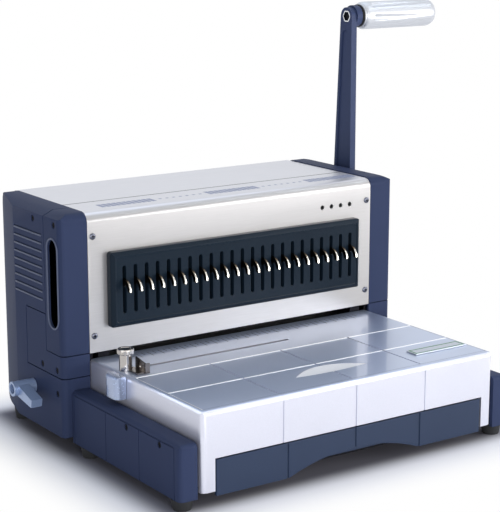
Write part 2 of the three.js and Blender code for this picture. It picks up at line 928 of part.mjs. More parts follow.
function topCoverSolid() {
  const [t, r] = [tower.sheet, tower.rearBend];
  const [front, back] = [tower.stripDepth + tower.seam, tower.depth];
  const flangeEnd = towerTop - tower.rearFlange;
  const profile = [
    [front, underTop],
    ...arc(back - r, towerTop - r, r - t, quarter, 0),
    [back - t, flangeEnd],
    [back, flangeEnd],
    ...arc(back - r, towerTop - r, r, 0, quarter),
    [front, towerTop],
  ];
  return prism('X', profile, -tower.halfWidth, tower.halfWidth);
}

function combPlateSolid() {
  const half = tower.halfWidth - comb.sideInset;
  const [low, high, b] = [combBottom, combTop, comb.bevel];
  const [back, front] = [-seat, -comb.proud];
  const plan = [
    [-half, back],
    [-half, front + b],
    [-half + b, front],
    [half - b, front],
    [half, front + b],
    [half, back],
  ];
  const profile = [
    [back, low],
    [front + b, low],
    [front, low + b],
    [front, high - b],
    [front + b, high],
    [back, high],
  ];
  const r = comb.slotWidth / 2;
  const slots = patternPlaces().map((x) => {
    const outline = [
      ...arc(x, slotTop - r, r, 0, 2 * quarter),
      ...arc(x, slotBottom + r, r, 2 * quarter, 4 * quarter),
    ];
    return prism('Y', outline, front - pastFace, back + pastFace);
  });
  const corners = Array(4).fill(comb.cornerRadius);
  const edge = b + comb.rim;
  const inside = roundedRectangle(-half + edge, half - edge, low + edge, high - edge, corners);
  const field = prism('Y', inside, front - pastFace, front + comb.rimHeight);
  const body = prism('Z', plan, low, high)
    .intersect(prism('X', profile, -half, half))
    .intersect(prism('Y', roundedRectangle(-half, half, low, high, corners), front, back));
  return cut(body, [field, ...slots]);
}

// The hook bar with one flat hook for each place and a finger tab at its left end
function hookBarSolid() {
  const half = hookBarHalf;
  const [front, back] = [hooks.barFront, hooks.barFront + hooks.barDepth];
  const [low, high] = [hookBarCentre - hooks.barHeight / 2, hookBarCentre + hooks.barHeight / 2];
  const top = hooksTop;
  const out = -comb.proud - hooks.reach;
  const root = front + hooks.barDepth / 2;
  const [bendY, bendZ] = [out + hooks.drop, top - hooks.drop];
  const outline = [
    [root, top - hooks.rootHeight],
    [root, top],
    [bendY, top],
    ...arc(bendY, bendZ, hooks.drop, quarter + hooks.startTurn, 2 * quarter, cornerSteps + 1),
    ...arc(bendY, bendZ, hooks.drop - hooks.tipThickness, 2 * quarter, quarter + 2 * hooks.startTurn),
    [-comb.proud, top - hooks.rootHeight],
  ];
  const hook = (x) => prism('X', outline, x - hooks.thickness / 2, x + hooks.thickness / 2);
  const bore = holeFor(hooks.rodRadius, running, smallSides);
  const holes = [-rodX, rodX].map((x) =>
    rod('Z', x, rodY, bore, low - pastFace, high + pastFace, smallSides),
  );
  const tab = block(
    -half - hooks.tabReach,
    -half + hooks.rodInset,
    rodY - hooks.tabDepth / 2,
    rodY + hooks.tabDepth / 2,
    hookBarCentre - hooks.tabHeight / 2,
    hookBarCentre + hooks.tabHeight / 2,
  );
  const bar = block(-half, half, front, back, low, high);
  return cut(unionOf([bar, tab, ...patternPlaces().map(hook)]), holes);
}

function pinHoles(clearance, low, high) {
  const [w, d] = [pattern.pinWidth / 2 + clearance, pattern.pinDepth / 2 + clearance];
  const line = pattern.pinLine;
  return patternPlaces().map((x) => block(x - w, x + w, line - d, line + d, low - pastFace, high + pastFace));
}

function stripperSolid() {
  const [half, front, back] = [dieHalf, frame.front, die.back];
  const body = block(-half, half, front, back, stripperBottom, stripperTop);
  const feet = [-half, half - die.footWidth].map((left) =>
    block(left, left + die.footWidth, front, back, bed.top + seat, stripperBottom),
  );
  return cut(unionOf([body, ...feet]), pinHoles(running, stripperBottom, stripperTop));
}

function dieBeamSolid() {
  const half = patternHalf + pattern.pinWidth;
  const [front, back] = [frame.front + die.chipSlotMargin, die.back - die.chipSlotMargin];
  return block(-beamHalf, beamHalf, frame.front, die.beamBack, beamBottom, beamTop).subtract(
    block(-half, half, front, back, beamBottom - pastFace, beamTop + pastFace),
  );
}

function punchBarSolid() {
  const half = patternHalf + pattern.pinWidth / 2 + punch.barOverhang;
  const bar = block(-half, half, barBack - punch.barDepth, barBack, barBottom, barTop);
  const [w, d, line] = [pattern.pinWidth / 2, pattern.pinDepth / 2, pattern.pinLine];
  const tip = stripperBottom + punch.pinRest;
  const pins = patternPlaces().map((x) => block(x - w, x + w, line - d, line + d, tip, barBottom + seat));
  return unionOf([bar, ...pins]);
}

function carriageSolid() {
  const plateSolid = block(-carriageHalf, carriageHalf, barBack + seat, rackRootY, carriageBottom, barTop);
  const holes = [-postX, postX].map((x) => {
    const radius = holeFor(punch.postRadius, running, roundSides);
    return rod('Z', x, punch.postY, radius, carriageBottom - pastFace, barTop + pastFace, roundSides);
  });
  return cut(unionOf([plateSolid, driveRack(-drivePlace), driveRack(drivePlace)]), holes);
}

// An upright rack on the carriage, its teeth facing the drive shaft
function driveRack(x) {
  const teeth = rackProfile(driveZ, drive.module, drive.rackTeethBelow, drive.rackTeethAbove);
  const [front, top] = [rackRootY - drive.rackThickness, towerTop - drive.rackDrop];
  const outline = [
    [front, carriageBottom],
    [rackRootY, carriageBottom],
    ...teeth.map(([z, height]) => [rackPitchY + height, z]),
    [rackRootY, top],
    [front, top],
  ];
  return prism('X', outline, x - drive.width / 2, x + drive.width / 2);
}

// A toothed wheel without a bore, at one place along its shaft
function toothed(part, x, y, z) {
  const outline = pinionOutline(y, z, part.teeth, part.module);
  return prism('X', outline, x - part.width / 2, x + part.width / 2);
}

function drivePinionSolid() {
  const [low, high] = [drivePlace - drive.width, drivePlace + drive.width];
  const bore = rod('X', drive.shaftY, driveZ, holeFor(drive.shaftRadius, seat), low, high);
  return toothed(drive, drivePlace, drive.shaftY, driveZ).subtract(bore);
}

// The paper backstop: a sliding plate with two racks above the margin pinions
function backstopSolid() {
  const [low, high] = [bed.top + seat, bed.top + seat + margin.stopThickness];
  const half = dieHalf - die.footWidth - margin.stopGap;
  const pitchZ = marginZ + (margin.module * margin.teeth) / 2;
  const rackTop = pitchZ + dedendumShare * margin.module + margin.rackHeight;
  const teeth = rackProfile(marginY, margin.module, margin.rackTeethEachSide, margin.rackTeethEachSide);
  const [first, last] = [teeth[0], teeth[teeth.length - 1]];
  const outline = [
    [first[0], rackTop],
    ...teeth.map(([y, height]) => [y, pitchZ - height]),
    [last[0], rackTop],
  ];
  const legFront = die.beamBack + margin.legGap;
  const legs = [-marginPlace, marginPlace].flatMap((x) => {
    const [left, right] = [x - margin.width / 2, x + margin.width / 2];
    return [
      prism('X', outline, left, right),
      block(left, right, legFront, legFront + margin.legDepth, rackTop - margin.rackHeight / 2, high),
    ];
  });
  return unionOf([block(-half, half, margin.stopFront, legFront + margin.legDepth, low, high), ...legs]);
}

// The margin knob: a hollow ended tube with a lug that points forward
function marginKnobSolid() {
  const [low, high] = [coverOuter + seat, coverOuter + seat + margin.knobLength];
  const [y, z] = [marginY, marginZ];
  const tube = rod('X', y, z, margin.knobRadius, low, high);
  const slope = THREE.MathUtils.degToRad(margin.lugSlopeDegrees);
  const ahead = (distance, rise) => [
    y - distance * Math.cos(slope) - rise * Math.sin(slope),
    z - distance * Math.sin(slope) + rise * Math.cos(slope),
  ];
  const [root, tip] = [margin.lugRootHalfHeight, margin.lugTipHalfHeight];
  const reach = margin.lugReach;
  const outline = [ahead(0, -root), ahead(0, root), ahead(reach, tip), ahead(reach, -tip)];
  const lugRight = high - margin.knobHollowDepth / 2;
  const lug = prism('X', outline, lugRight - margin.lugThickness, lugRight);
  const hollow = rod('X', y, z, margin.knobHollowRadius, high - margin.knobHollowDepth, high + pastFace);
  const bore = rod('X', y, z, holeFor(margin.shaftRadius, seat), low - pastFace, low + margin.knobLength / 2);
  return mirrored(cut(tube.add(lug), [hollow, bore]));
}

// The lever arm: two round ends joined by straight edges, a boss at each end and a pocket in its left face
function leverOutline(hubRadius, endRadius, fromHub, fromEnd) {
  const [dy, dz] = [gripY - drive.shaftY, gripZ - driveZ];
  const length = Math.hypot(dy, dz);
  const lean = THREE.MathUtils.radToDeg(Math.atan2(dz, dy));
  const spread = THREE.MathUtils.radToDeg(Math.asin((hubRadius - endRadius) / (length - fromHub - fromEnd)));
  const at = (distance) => [drive.shaftY + (dy * distance) / length, driveZ + (dz * distance) / length];
  const [hubY, hubZ] = at(fromHub);
  const [endY, endZ] = at(length - fromEnd);
  return [
    ...arc(endY, endZ, endRadius, lean - quarter + spread, lean + quarter - spread, smallSides),
    ...arc(hubY, hubZ, hubRadius, lean + quarter - spread, lean + 3 * quarter + spread, smallSides),
  ];
}

function leverArmSolid() {
  const [y, z] = [drive.shaftY, driveZ];
  const arm = prism('X', leverOutline(lever.hubRadius, lever.endRadius, 0, 0), armLeft, armRight);
  const hubBoss = rod('X', y, z, lever.hubBossRadius, armRight - seat, armRight + lever.hubBoss);
  const gripBoss = rod('X', gripY, gripZ, lever.bossRadius, armRight - seat, armRight + lever.boss);
  const length = Math.hypot(lever.lean, lever.length);
  const radiusAt = (distance) => lever.hubRadius + ((lever.endRadius - lever.hubRadius) * distance) / length;
  const pocketOutline = leverOutline(
    radiusAt(lever.pocketFromHub) - lever.pocketRim,
    radiusAt(length - lever.pocketFromEnd) - lever.pocketRim,
    lever.pocketFromHub,
    lever.pocketFromEnd,
  );
  const pocket = prism('X', pocketOutline, armLeft - pastFace, armLeft + lever.pocketDepth);
  const shaftBore = holeFor(drive.shaftRadius, seat);
  const shaftHole = rod('X', y, z, shaftBore, armLeft - pastFace, armRight + lever.hubBoss - seat);
  const [headEnd, bossEnd] = [armLeft + grip.boltHead + seat, armRight + lever.boss + pastFace];
  const head = rod('X', gripY, gripZ, holeFor(grip.boltHeadRadius, seat), armLeft - pastFace, headEnd);
  const shank = rod('X', gripY, gripZ, holeFor(grip.boltRadius, seat), armLeft - pastFace, bossEnd);
  return cut(unionOf([arm, hubBoss, gripBoss]), [pocket, shaftHole, head, shank]);
}

// The grip: a fluted barrel with a narrow neck and a domed end, turning on its bolt
function gripSolid() {
  const right = gripLeft + grip.length;
  const shoulderEnd = gripLeft + grip.neckLength + grip.shoulder;
  const domeStart = right - grip.domeLength;
  const stations = [
    [gripLeft, grip.neckRadius, 0],
    [gripLeft + grip.neckLength, grip.neckRadius, 0],
    [shoulderEnd, grip.radius, 0],
    [shoulderEnd + grip.shoulder, grip.radius, 1],
    [(shoulderEnd + domeStart) / 2, grip.radius, 1],
    [domeStart - grip.shoulder, grip.radius, 0],
    [domeStart, grip.radius, 0],
    [right - grip.domeLength / 4, (grip.radius + grip.domeRadius) / 2, 0],
    [right, grip.domeRadius, 0],
  ];
  const sides = grip.flutes * smallSides / 2;
  const rings = stations.map(([x, radius, fluted]) =>
    Array.from({ length: sides }, (_, i) => {
      const angle = (i / sides) * 2 * Math.PI;
      const wave = Math.max(0, Math.cos(angle * grip.flutes));
      const r = radius - fluted * grip.fluteDepth * wave;
      return new THREE.Vector3(x, gripY + r * Math.cos(angle), gripZ + r * Math.sin(angle));
    }),
  );
  const bore = rod('X', gripY, gripZ, grip.boreRadius, gripLeft - pastFace, right - grip.endWall, roundSides);
  return loft(rings).subtract(bore);
}

function gripBoltSolid() {
  const tip = gripLeft + grip.length - grip.endWall - grip.boltTipGap;
  const left = armLeft + seat;
  const headEnd = left + grip.boltHead - seat;
  const head = rod('X', gripY, gripZ, grip.boltHeadRadius, left, headEnd);
  const shank = rod('X', gripY, gripZ, grip.boltRadius, headEnd - seat, tip);
  const socketEnd = left + grip.socketDepth;
  const socket = rod('X', gripY, gripZ, grip.socketRadius, left - pastFace, socketEnd, hexSides);
  return head.add(shank).subtract(socket);
}

// The drawer front, with an arched finger gap along its lower edge
function drawerFrontSolid() {
  const [half, rise] = [drawer.archHalfWidth, drawer.archRise];
  const radius = (half * half + rise * rise) / (2 * rise);
  const reach = THREE.MathUtils.radToDeg(Math.asin(half / radius));
  const archCentre = drawer.frontBottom + rise - radius;
  const outline = [
    [frontHalf, drawer.frontBottom],
    [frontHalf, drawerTop],
    [-frontHalf, drawerTop],
    [-frontHalf, drawer.frontBottom],
    ...arc(0, archCentre, radius, quarter + reach, quarter - reach, drawer.archSteps),
  ];
  const front = -bed.front + drawer.frontInset;
  const seams = [-frontHalf / 2, 0, frontHalf / 2].map((x) => {
    const w = drawer.seamWidth / 2;
    const [low, high] = [drawer.frontBottom - pastFace, drawerTop + pastFace];
    return block(x - w, x + w, front - pastFace, front + drawer.seamDepth, low, high);
  });
  return cut(prism('Y', outline, front, front + drawer.frontThickness), seams);
}

function drawerTraySolid() {
  const front = -bed.front + drawer.frontInset + drawer.frontThickness + seat;
  const [w, low] = [drawer.wall, onBase];
  const half = trayHalf;
  return block(-half, half, front, drawer.back, low, low + drawer.height).subtract(
    block(-half + w, half - w, front + w, drawer.back - w, low + w, low + drawer.height + pastFace),
  );
}

// The slider of the side guide: a block under the bed, a neck through the slot and a round stem above
function guideSliderSolid() {
  const [x, y] = [guideX, -guide.y];
  const under = bed.top - bed.wall - seat;
  const stemTop = guideTop + guide.stemHeight;
  const around = (halfX, halfY, low, high) => block(x - halfX, x + halfX, y - halfY, y + halfY, low, high);
  const body = unionOf([
    around(guide.blockHalfLength, guide.blockHalfDepth, under - guide.blockHeight, under),
    around(guide.neckHalfLength, guide.slotWidth / 2 - running, under - seat, guideTop + seat),
    rod('Z', x, y, guide.stemRadius, guideTop, stemTop),
    rod('Z', x, y, guide.studRadius, stemTop - seat, stemTop + guide.studHeight, smallSides),
  ]);
  const reach = guide.blockHalfLength + pastFace;
  const railBore = holeFor(guide.railRadius, running, roundSides);
  return body.subtract(rod('X', railY, railZ, railBore, x - reach, x + reach, roundSides));
}

// The polished fence plate with a foot along the bed and a small tab at its front
function guideFenceSolid() {
  const t = guide.fenceThickness;
  const left = guideX + guide.fenceOffset;
  const [front, back] = [-guide.y - guide.fenceAhead, -guide.y - guide.fenceSetback];
  const frontTop = guideTop + guide.fenceFrontHeight;
  const outline = [
    [back, guideTop],
    [back, guideTop + guide.fenceRearHeight],
    [front, frontTop],
    [front, guideTop],
  ];
  const plateSolid = prism('X', outline, left, left + t);
  const tab = block(left, left + guide.fenceTab, front, front + t, guideTop, frontTop);
  const footBack = -guide.y - guide.footSetback + t;
  const footSide = block(guideX, left + t, front + t, footBack, guideTop, guideTop + t);
  const [low, high] = [guideTop - pastFace, guideTop + pastFace + t];
  const stemSpace = rod('Z', guideX, -guide.y, guide.stemRadius + seat, low, high);
  return unionOf([plateSolid, tab, footSide]).subtract(stemSpace);
}

// The clamp knob with notches round its rim
function guideKnobSolid() {
  const [x, y] = [guideX, -guide.y];
  const low = guideTop + guide.stemHeight + seat;
  const high = low + guide.knobHeight;
  const outline = Array.from({ length: guide.knobNotches * 2 }, (_, i) => {
    const angle = (i / (guide.knobNotches * 2)) * 2 * Math.PI;
    const radius = guide.knobRadius * (i % 2 ? 1 - guide.notchShare : 1);
    return [x + radius * Math.cos(angle), y + radius * Math.sin(angle)];
  });
  const radius = holeFor(guide.studRadius, running, smallSides);
  const bore = rod('Z', x, y, radius, low - pastFace, high - seat, smallSides);
  return prism('Z', outline, low, high).subtract(bore);
}

// The round cornered cap on the left side of the bed, where the guide rail ends
function guideCapSolid() {
  const right = -bedHalf - seat;
  const left = right - guide.capWidth;
  const r = guide.capRadius;
  const [front, back] = [railY - guide.capAhead, railY + guide.capBehind];
  const low = bed.top - guide.capHeight;
  const outline = roundedRectangle(left, right, front, back, [r, 0, 0, r]);
  const face = roundedRectangle(left, right, low, bed.top, [0, 0, 0, guide.capTopRadius]);
  return prism('Z', outline, low, bed.top).intersect(prism('Y', face, front, back));
}

// A wound spring as one tube, hidden round its post
function springSolid(x, y, low, high) {
  const { meanRadius, wireRadius, turns, stepsPerTurn, wireSides } = spring;
  const steps = turns * stepsPerTurn;
  const [start, end] = [low + wireRadius, high - wireRadius];
  const rings = Array.from({ length: steps + 1 }, (_, step) => {
    const angle = (step / stepsPerTurn) * 2 * Math.PI;
    const outward = new THREE.Vector3(Math.cos(angle), Math.sin(angle), 0);
    const rise = (end - start) / (turns * 2 * Math.PI);
    const along = new THREE.Vector3(-Math.sin(angle), Math.cos(angle), 0).multiplyScalar(meanRadius);
    along.z = rise;
    const upward = new THREE.Vector3().crossVectors(along.normalize(), outward);
    const height = start + ((end - start) * step) / steps;
    const centre = new THREE.Vector3(x, y, height).addScaledVector(outward, meanRadius);
    return Array.from({ length: wireSides }, (_, i) => {
      const around = (i / wireSides) * 2 * Math.PI;
      return centre
        .clone()
        .addScaledVector(outward, wireRadius * Math.cos(around))
        .addScaledVector(upward, wireRadius * Math.sin(around));
    });
  });
  return loft(rings);
}

// Materials

function finish(color, roughness, metalness) {
  return () => new THREE.MeshStandardMaterial({ color, roughness, metalness });
}

const slatePlastic = finish(0x3e4662, 0.55, 0);
const darkPlastic = finish(0x26364a, 0.45, 0);
const blackPlastic = finish(0x101216, 0.6, 0);
const silverPanel = finish(0xc9cdd2, 0.35, 0.8);
const bedSilver = finish(0xb9c4d6, 0.3, 0.6);
const zincSteel = finish(0x9a9ea3, 0.45, 0.9);
const toolSteel = finish(0x74787c, 0.4, 0.95);
const chrome = finish(0xd8dadc, 0.12, 1);
const knobSilver = finish(0xa9b8cc, 0.4, 0.4);
const gripAluminium = finish(0xd4d9de, 0.3, 0.8);
const bronze = finish(0xa98b4a, 0.45, 0.9);
const rubber = finish(0x1d2026, 0.9, 0);

// Assembly

const machine = new THREE.Group();

function add(name, solid, material) {
  const mesh = new THREE.Mesh(geometryFrom(solid), material());
  mesh.name = name;
  machine.add(mesh);
}

function addPair(name, solid, material) {
  add(`${name}_right`, solid, material);
  add(`${name}_left`, mirrored(solid), material);
}

// Base and feet
add('base_plate', basePlateSolid(), zincSteel);
const housingFootX = housingOuter - footLines.housingInset;
const housingFootTop = housing.bottom - seat;
const coverFoot = [coverOuter - footLines.coverInset, tower.depth - footLines.rearInset, cover.bottom - seat];
addPair('foot_front', footSolid(housingFootX, housingFront + footLines.frontInset, housingFootTop), rubber);
addPair('foot_middle', footSolid(housingFootX, -footLines.middle, housingFootTop), rubber);
addPair('foot_rear', footSolid(...coverFoot), rubber);

// Covers and panels
const throughCover = [coverInner, coverOuter + pastFace];
const driveHole = rod('X', drive.shaftY, driveZ, holeFor(drive.shaftRadius, seat), ...throughCover);
const knobHole = rod('X', marginY, marginZ, holeFor(margin.shaftRadius, seat), ...throughCover);
const rightCover = coverPieces(false, [driveHole]);
const leftCover = coverPieces(true, [knobHole]);
for (const piece of ['main', 'front', 'middle']) {
  add(`side_cover_${piece}_right`, rightCover[piece], slatePlastic);
  add(`side_cover_${piece}_left`, mirrored(leftCover[piece]), slatePlastic);
}
addPair('front_housing', housingSolid(), slatePlastic);
add('front_panel', frontPanelSolid(), silverPanel);
add('top_cover', topCoverSolid(), silverPanel);
const rearTop = towerTop - tower.rearFlange - tower.seam;
const rearFront = tower.depth - tower.sheet;
const rearCover = block(-tower.halfWidth, tower.halfWidth, rearFront, tower.depth, onBase, rearTop);
add('rear_cover', rearCover, silverPanel);
add('comb_plate', combPlateSolid(), darkPlastic);
add('peep_strip', peepStripSolid(), blackPlastic);
const screwX = tower.halfWidth - panelScrew.inset;
const screwLevels = [['low', towerBottom + panelScrew.rise], ['high', towerTop - panelScrew.drop]];
for (const [level, z] of screwLevels) {
  const [front, back] = [-seat - panelScrew.headHeight, tower.sheet + seat + frame.flangeThickness];
  const head = rod('Y', screwX, z, panelScrew.headRadius, front, -seat, roundSides);
  const shank = rod('Y', screwX, z, panelScrew.shankRadius, front / 2, back, smallSides);
  addPair(`panel_screw_${level}`, head.add(shank), chrome);
}

// Frame inside the tower
const plateCuts = [plateInner - pastFace, plateOuter + pastFace];
const bushHole = rod('X', drive.shaftY, driveZ, holeFor(drive.bushRadius, seat), ...plateCuts);
const marginHole = rod('X', marginY, marginZ, holeFor(margin.shaftRadius, running), ...plateCuts);
const tabSlot = block(
  ...plateCuts,
  rodY - hooks.tabDepth / 2 - running,
  rodY + hooks.tabDepth / 2 + running,
  hookBarCentre - hooks.tabHeight / 2 - hooks.travelDown - pastFace,
  hookBarCentre + hooks.tabHeight / 2 + hooks.travelUp + pastFace,
);
add('frame_plate_right', framePlate([bushHole, marginHole]), zincSteel);
add('frame_plate_left', mirrored(framePlate([bushHole, marginHole, tabSlot])), zincSteel);
const bushBore = holeFor(drive.shaftRadius, running);
const flangeLeft = plateInner - seat - drive.bushFlangeThickness;
const bush = rod('X', drive.shaftY, driveZ, drive.bushFlange, flangeLeft, plateInner - seat)
  .add(rod('X', drive.shaftY, driveZ, drive.bushRadius, flangeLeft + seat, plateOuter))
  .subtract(rod('X', drive.shaftY, driveZ, bushBore, flangeLeft - pastFace, plateOuter + pastFace));
addPair('shaft_bush', bush, bronze);
add('die_beam', dieBeamSolid(), toolSteel);
const dieBlock = block(-dieHalf, dieHalf, frame.front, die.back, dieBottom, bed.top);
add('die_block', cut(dieBlock, pinHoles(running, dieBottom, bed.top)), toolSteel);
add('stripper_plate', stripperSolid(), toolSteel);
const postTop = barTop + punch.postRise;
const post = rod('Z', postX, punch.postY, punch.postRadius, dieBottom, postTop, roundSides);
addPair('guide_post', post, toolSteel);
const hookRod = rod('Z', rodX, rodY, hooks.rodRadius, stripperTop + seat, underTop - seat, smallSides);
addPair('hook_rod', hookRod, toolSteel);
addPair('return_spring', springSolid(postX, punch.postY, dieBottom, carriageBottom - seat), zincSteel);

// Punch
add('punch_bar', punchBarSolid(), toolSteel);
add('punch_carriage', carriageSolid(), toolSteel);

// Drive shaft, pinions, lever and grip
const shaftLeft = -tower.halfWidth - drive.leftOverrun;
const shaftRight = armRight + lever.hubBoss - lever.shaftSetback;
add('drive_shaft', rod('X', drive.shaftY, driveZ, drive.shaftRadius, shaftLeft, shaftRight), toolSteel);
addPair('drive_pinion', drivePinionSolid(), toolSteel);
add('lever_arm', leverArmSolid(), slatePlastic);
add('lever_grip', gripSolid(), gripAluminium);
add('grip_bolt', gripBoltSolid(), chrome);

// Hooks
add('hook_bar', hookBarSolid(), chrome);

// Margin control
const knobMiddle = coverOuter + margin.knobLength / 2 - seat;
const marginTeeth = [-marginPlace, marginPlace].map((x) => toothed(margin, x, marginY, marginZ));
const marginRod = rod('X', marginY, marginZ, margin.shaftRadius, -knobMiddle, plateOuter);
add('margin_shaft', unionOf([marginRod, ...marginTeeth]), toolSteel);
add('margin_knob', marginKnobSolid(), knobSilver);
add('paper_backstop', backstopSolid(), zincSteel);

// Bed, drawer and side guide
add('bed_cover', bedSolid(), bedSilver);
const plateRight = bedHalf - plate.sideInset;
const plateFront = -bed.front + plate.frontInset;
const badge = [plateRight - plate.width, plateRight, plateFront, plateFront + plate.depth];
add('badge_plate', block(...badge, guideTop, guideTop + plate.thickness), silverPanel);
add('drawer_front', drawerFrontSolid(), darkPlastic);
add('drawer_tray', drawerTraySolid(), darkPlastic);
const runnerX = [trayHalf + seat, trayHalf + seat + drawer.runnerWidth];
const runnerY = [-bed.front + drawer.runnerInset, drawer.back];
addPair('drawer_runner', block(...runnerX, ...runnerY, onBase, onBase + drawer.runnerHeight), zincSteel);
add('guide_slider', guideSliderSolid(), chrome);
add('guide_fence', guideFenceSolid(), chrome);
add('guide_knob', guideKnobSolid(), chrome);
add('guide_rail', rod('X', railY, railZ, guide.railRadius, -bedHalf, railRight, roundSides), toolSteel);
add('guide_end_cap', guideCapSolid(), bedSilver);

// The origin is the middle of the footprint, on the floor
const box = new THREE.Box3().setFromObject(machine);
const middle = box.getCenter(new THREE.Vector3());
machine.position.set(-middle.x, -middle.y, 0);

export default machine;
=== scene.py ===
import json
import math

import bmesh
import bpy
from mathutils import Matrix, Vector


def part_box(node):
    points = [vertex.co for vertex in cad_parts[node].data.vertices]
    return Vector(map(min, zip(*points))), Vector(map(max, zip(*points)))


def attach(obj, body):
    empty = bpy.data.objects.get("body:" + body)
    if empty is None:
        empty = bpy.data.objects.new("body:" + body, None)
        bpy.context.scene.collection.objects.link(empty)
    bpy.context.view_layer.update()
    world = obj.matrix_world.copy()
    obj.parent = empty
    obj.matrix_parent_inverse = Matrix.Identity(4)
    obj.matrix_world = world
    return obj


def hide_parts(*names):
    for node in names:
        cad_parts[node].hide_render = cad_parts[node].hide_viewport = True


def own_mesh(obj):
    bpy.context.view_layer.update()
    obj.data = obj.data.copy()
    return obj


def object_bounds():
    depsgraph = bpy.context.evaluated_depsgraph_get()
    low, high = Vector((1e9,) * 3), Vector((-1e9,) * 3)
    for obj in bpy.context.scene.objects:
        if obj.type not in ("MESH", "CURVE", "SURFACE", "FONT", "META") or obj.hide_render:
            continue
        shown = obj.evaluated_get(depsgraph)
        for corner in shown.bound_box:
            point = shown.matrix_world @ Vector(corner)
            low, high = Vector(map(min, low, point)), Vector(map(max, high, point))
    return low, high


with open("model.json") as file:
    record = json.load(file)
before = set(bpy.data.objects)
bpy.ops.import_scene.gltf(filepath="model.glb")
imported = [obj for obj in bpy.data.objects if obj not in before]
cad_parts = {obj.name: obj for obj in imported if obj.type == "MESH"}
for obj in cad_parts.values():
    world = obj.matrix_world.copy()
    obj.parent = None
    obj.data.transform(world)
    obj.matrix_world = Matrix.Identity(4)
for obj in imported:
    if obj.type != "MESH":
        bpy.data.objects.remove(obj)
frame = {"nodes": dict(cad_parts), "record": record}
cad_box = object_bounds()
scene = bpy.context.scene

MM = 0.001
FULL_TURN = 2 * math.pi

# Places that the pieces share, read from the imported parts
PANEL_LOW, PANEL_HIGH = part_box("front_panel")
BED_LOW, BED_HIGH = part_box("bed_cover")
PANEL_MIDDLE_X = (PANEL_LOW.x + PANEL_HIGH.x) / 2
PANEL_FACE_Y = PANEL_LOW.y

# How far a fitted piece sinks into what carries it
SEAT = 0.1 * MM


# Shader sums

UP = (0, 0, 1)
TO_THE_RIGHT = (1, 0, 0)

# How a pattern is drawn out: not at all, or along the machine's width
EVENLY = (1, 1, 1)
LONG_X = (0.02, 1, 1)

# How many finer layers a noise has
SOFT_DETAIL = 1.0
PLAIN_DETAIL = 2.0
FINE_DETAIL = 3.0
FINEST_DETAIL = 4.0
NOISE_MIDDLE = 0.5

# How squarely a face looks up where the painted reflection colour of flat tops starts and where it is
# full
TOP_REFLECTION_START = 0.7
TOP_REFLECTION_END = 0.95


class Value:
    """A shader socket that takes part in Python sums."""

    def __init__(self, finish, socket):
        self.finish = finish
        self.socket = socket

    def _sum(self, operation, first, second):
        return self.finish.node("ShaderNodeMath", {"operation": operation}, {0: first, 1: second})

    def __add__(self, other):
        return self._sum("ADD", self, other)

    def __radd__(self, other):
        return self._sum("ADD", other, self)

    def __sub__(self, other):
        return self._sum("SUBTRACT", self, other)

    def __rsub__(self, other):
        return self._sum("SUBTRACT", other, self)

    def __mul__(self, other):
        return self._sum("MULTIPLY", self, other)

    def __rmul__(self, other):
        return self._sum("MULTIPLY", other, self)

    def __abs__(self):
        return self._sum("ABSOLUTE", self, 0.0)


class Nodes:
    """A node tree whose nodes all come from node()."""

    def __init__(self, tree):
        self.tree = tree
        tree.nodes.clear()

    def node(self, kind, settings=None, inputs=None, output=0):
        node = self.tree.nodes.new(kind)
        for name, value in (settings or {}).items():
            setattr(node, name, value)
        for name, value in (inputs or {}).items():
            if isinstance(value, Value):
                self.tree.links.new(value.socket, node.inputs[name])
            else:
                node.inputs[name].default_value = value
        return Value(self, node.outputs[output]) if node.outputs else None

    def blend(self, mask, first, second):
        """The first colour where the mask is 0, the second where it is 1."""
        settings = {"data_type": "RGBA"}
        return self.node("ShaderNodeMix", settings, {0: mask, 6: first, 7: second}, output=2)

    def vector(self, operation, first, second=(0, 0, 0), output="Vector"):
        return self.node("ShaderNodeVectorMath", {"operation": operation}, {0: first, 1: second}, output)

    def along(self, vector, way):
        """How far a vector reaches along a way."""
        return self.vector("DOT_PRODUCT", vector, way, "Value")

    def rise(self, value, low, high):
        """0 below low, 1 above high, and a soft step between them."""
        inputs = {"Value": value, "From Min": low, "From Max": high}
        return self.node("ShaderNodeMapRange", {"interpolation_type": "SMOOTHSTEP"}, inputs)

    def open_view(self):
        """1 for rays from the camera, from reflections and through clear things."""
        names = ("Is Camera Ray", "Is Glossy Ray", "Is Transmission Ray")
        camera, glossy, clear = [self.node("ShaderNodeLightPath", output=name) for name in names]
        return camera + glossy + clear


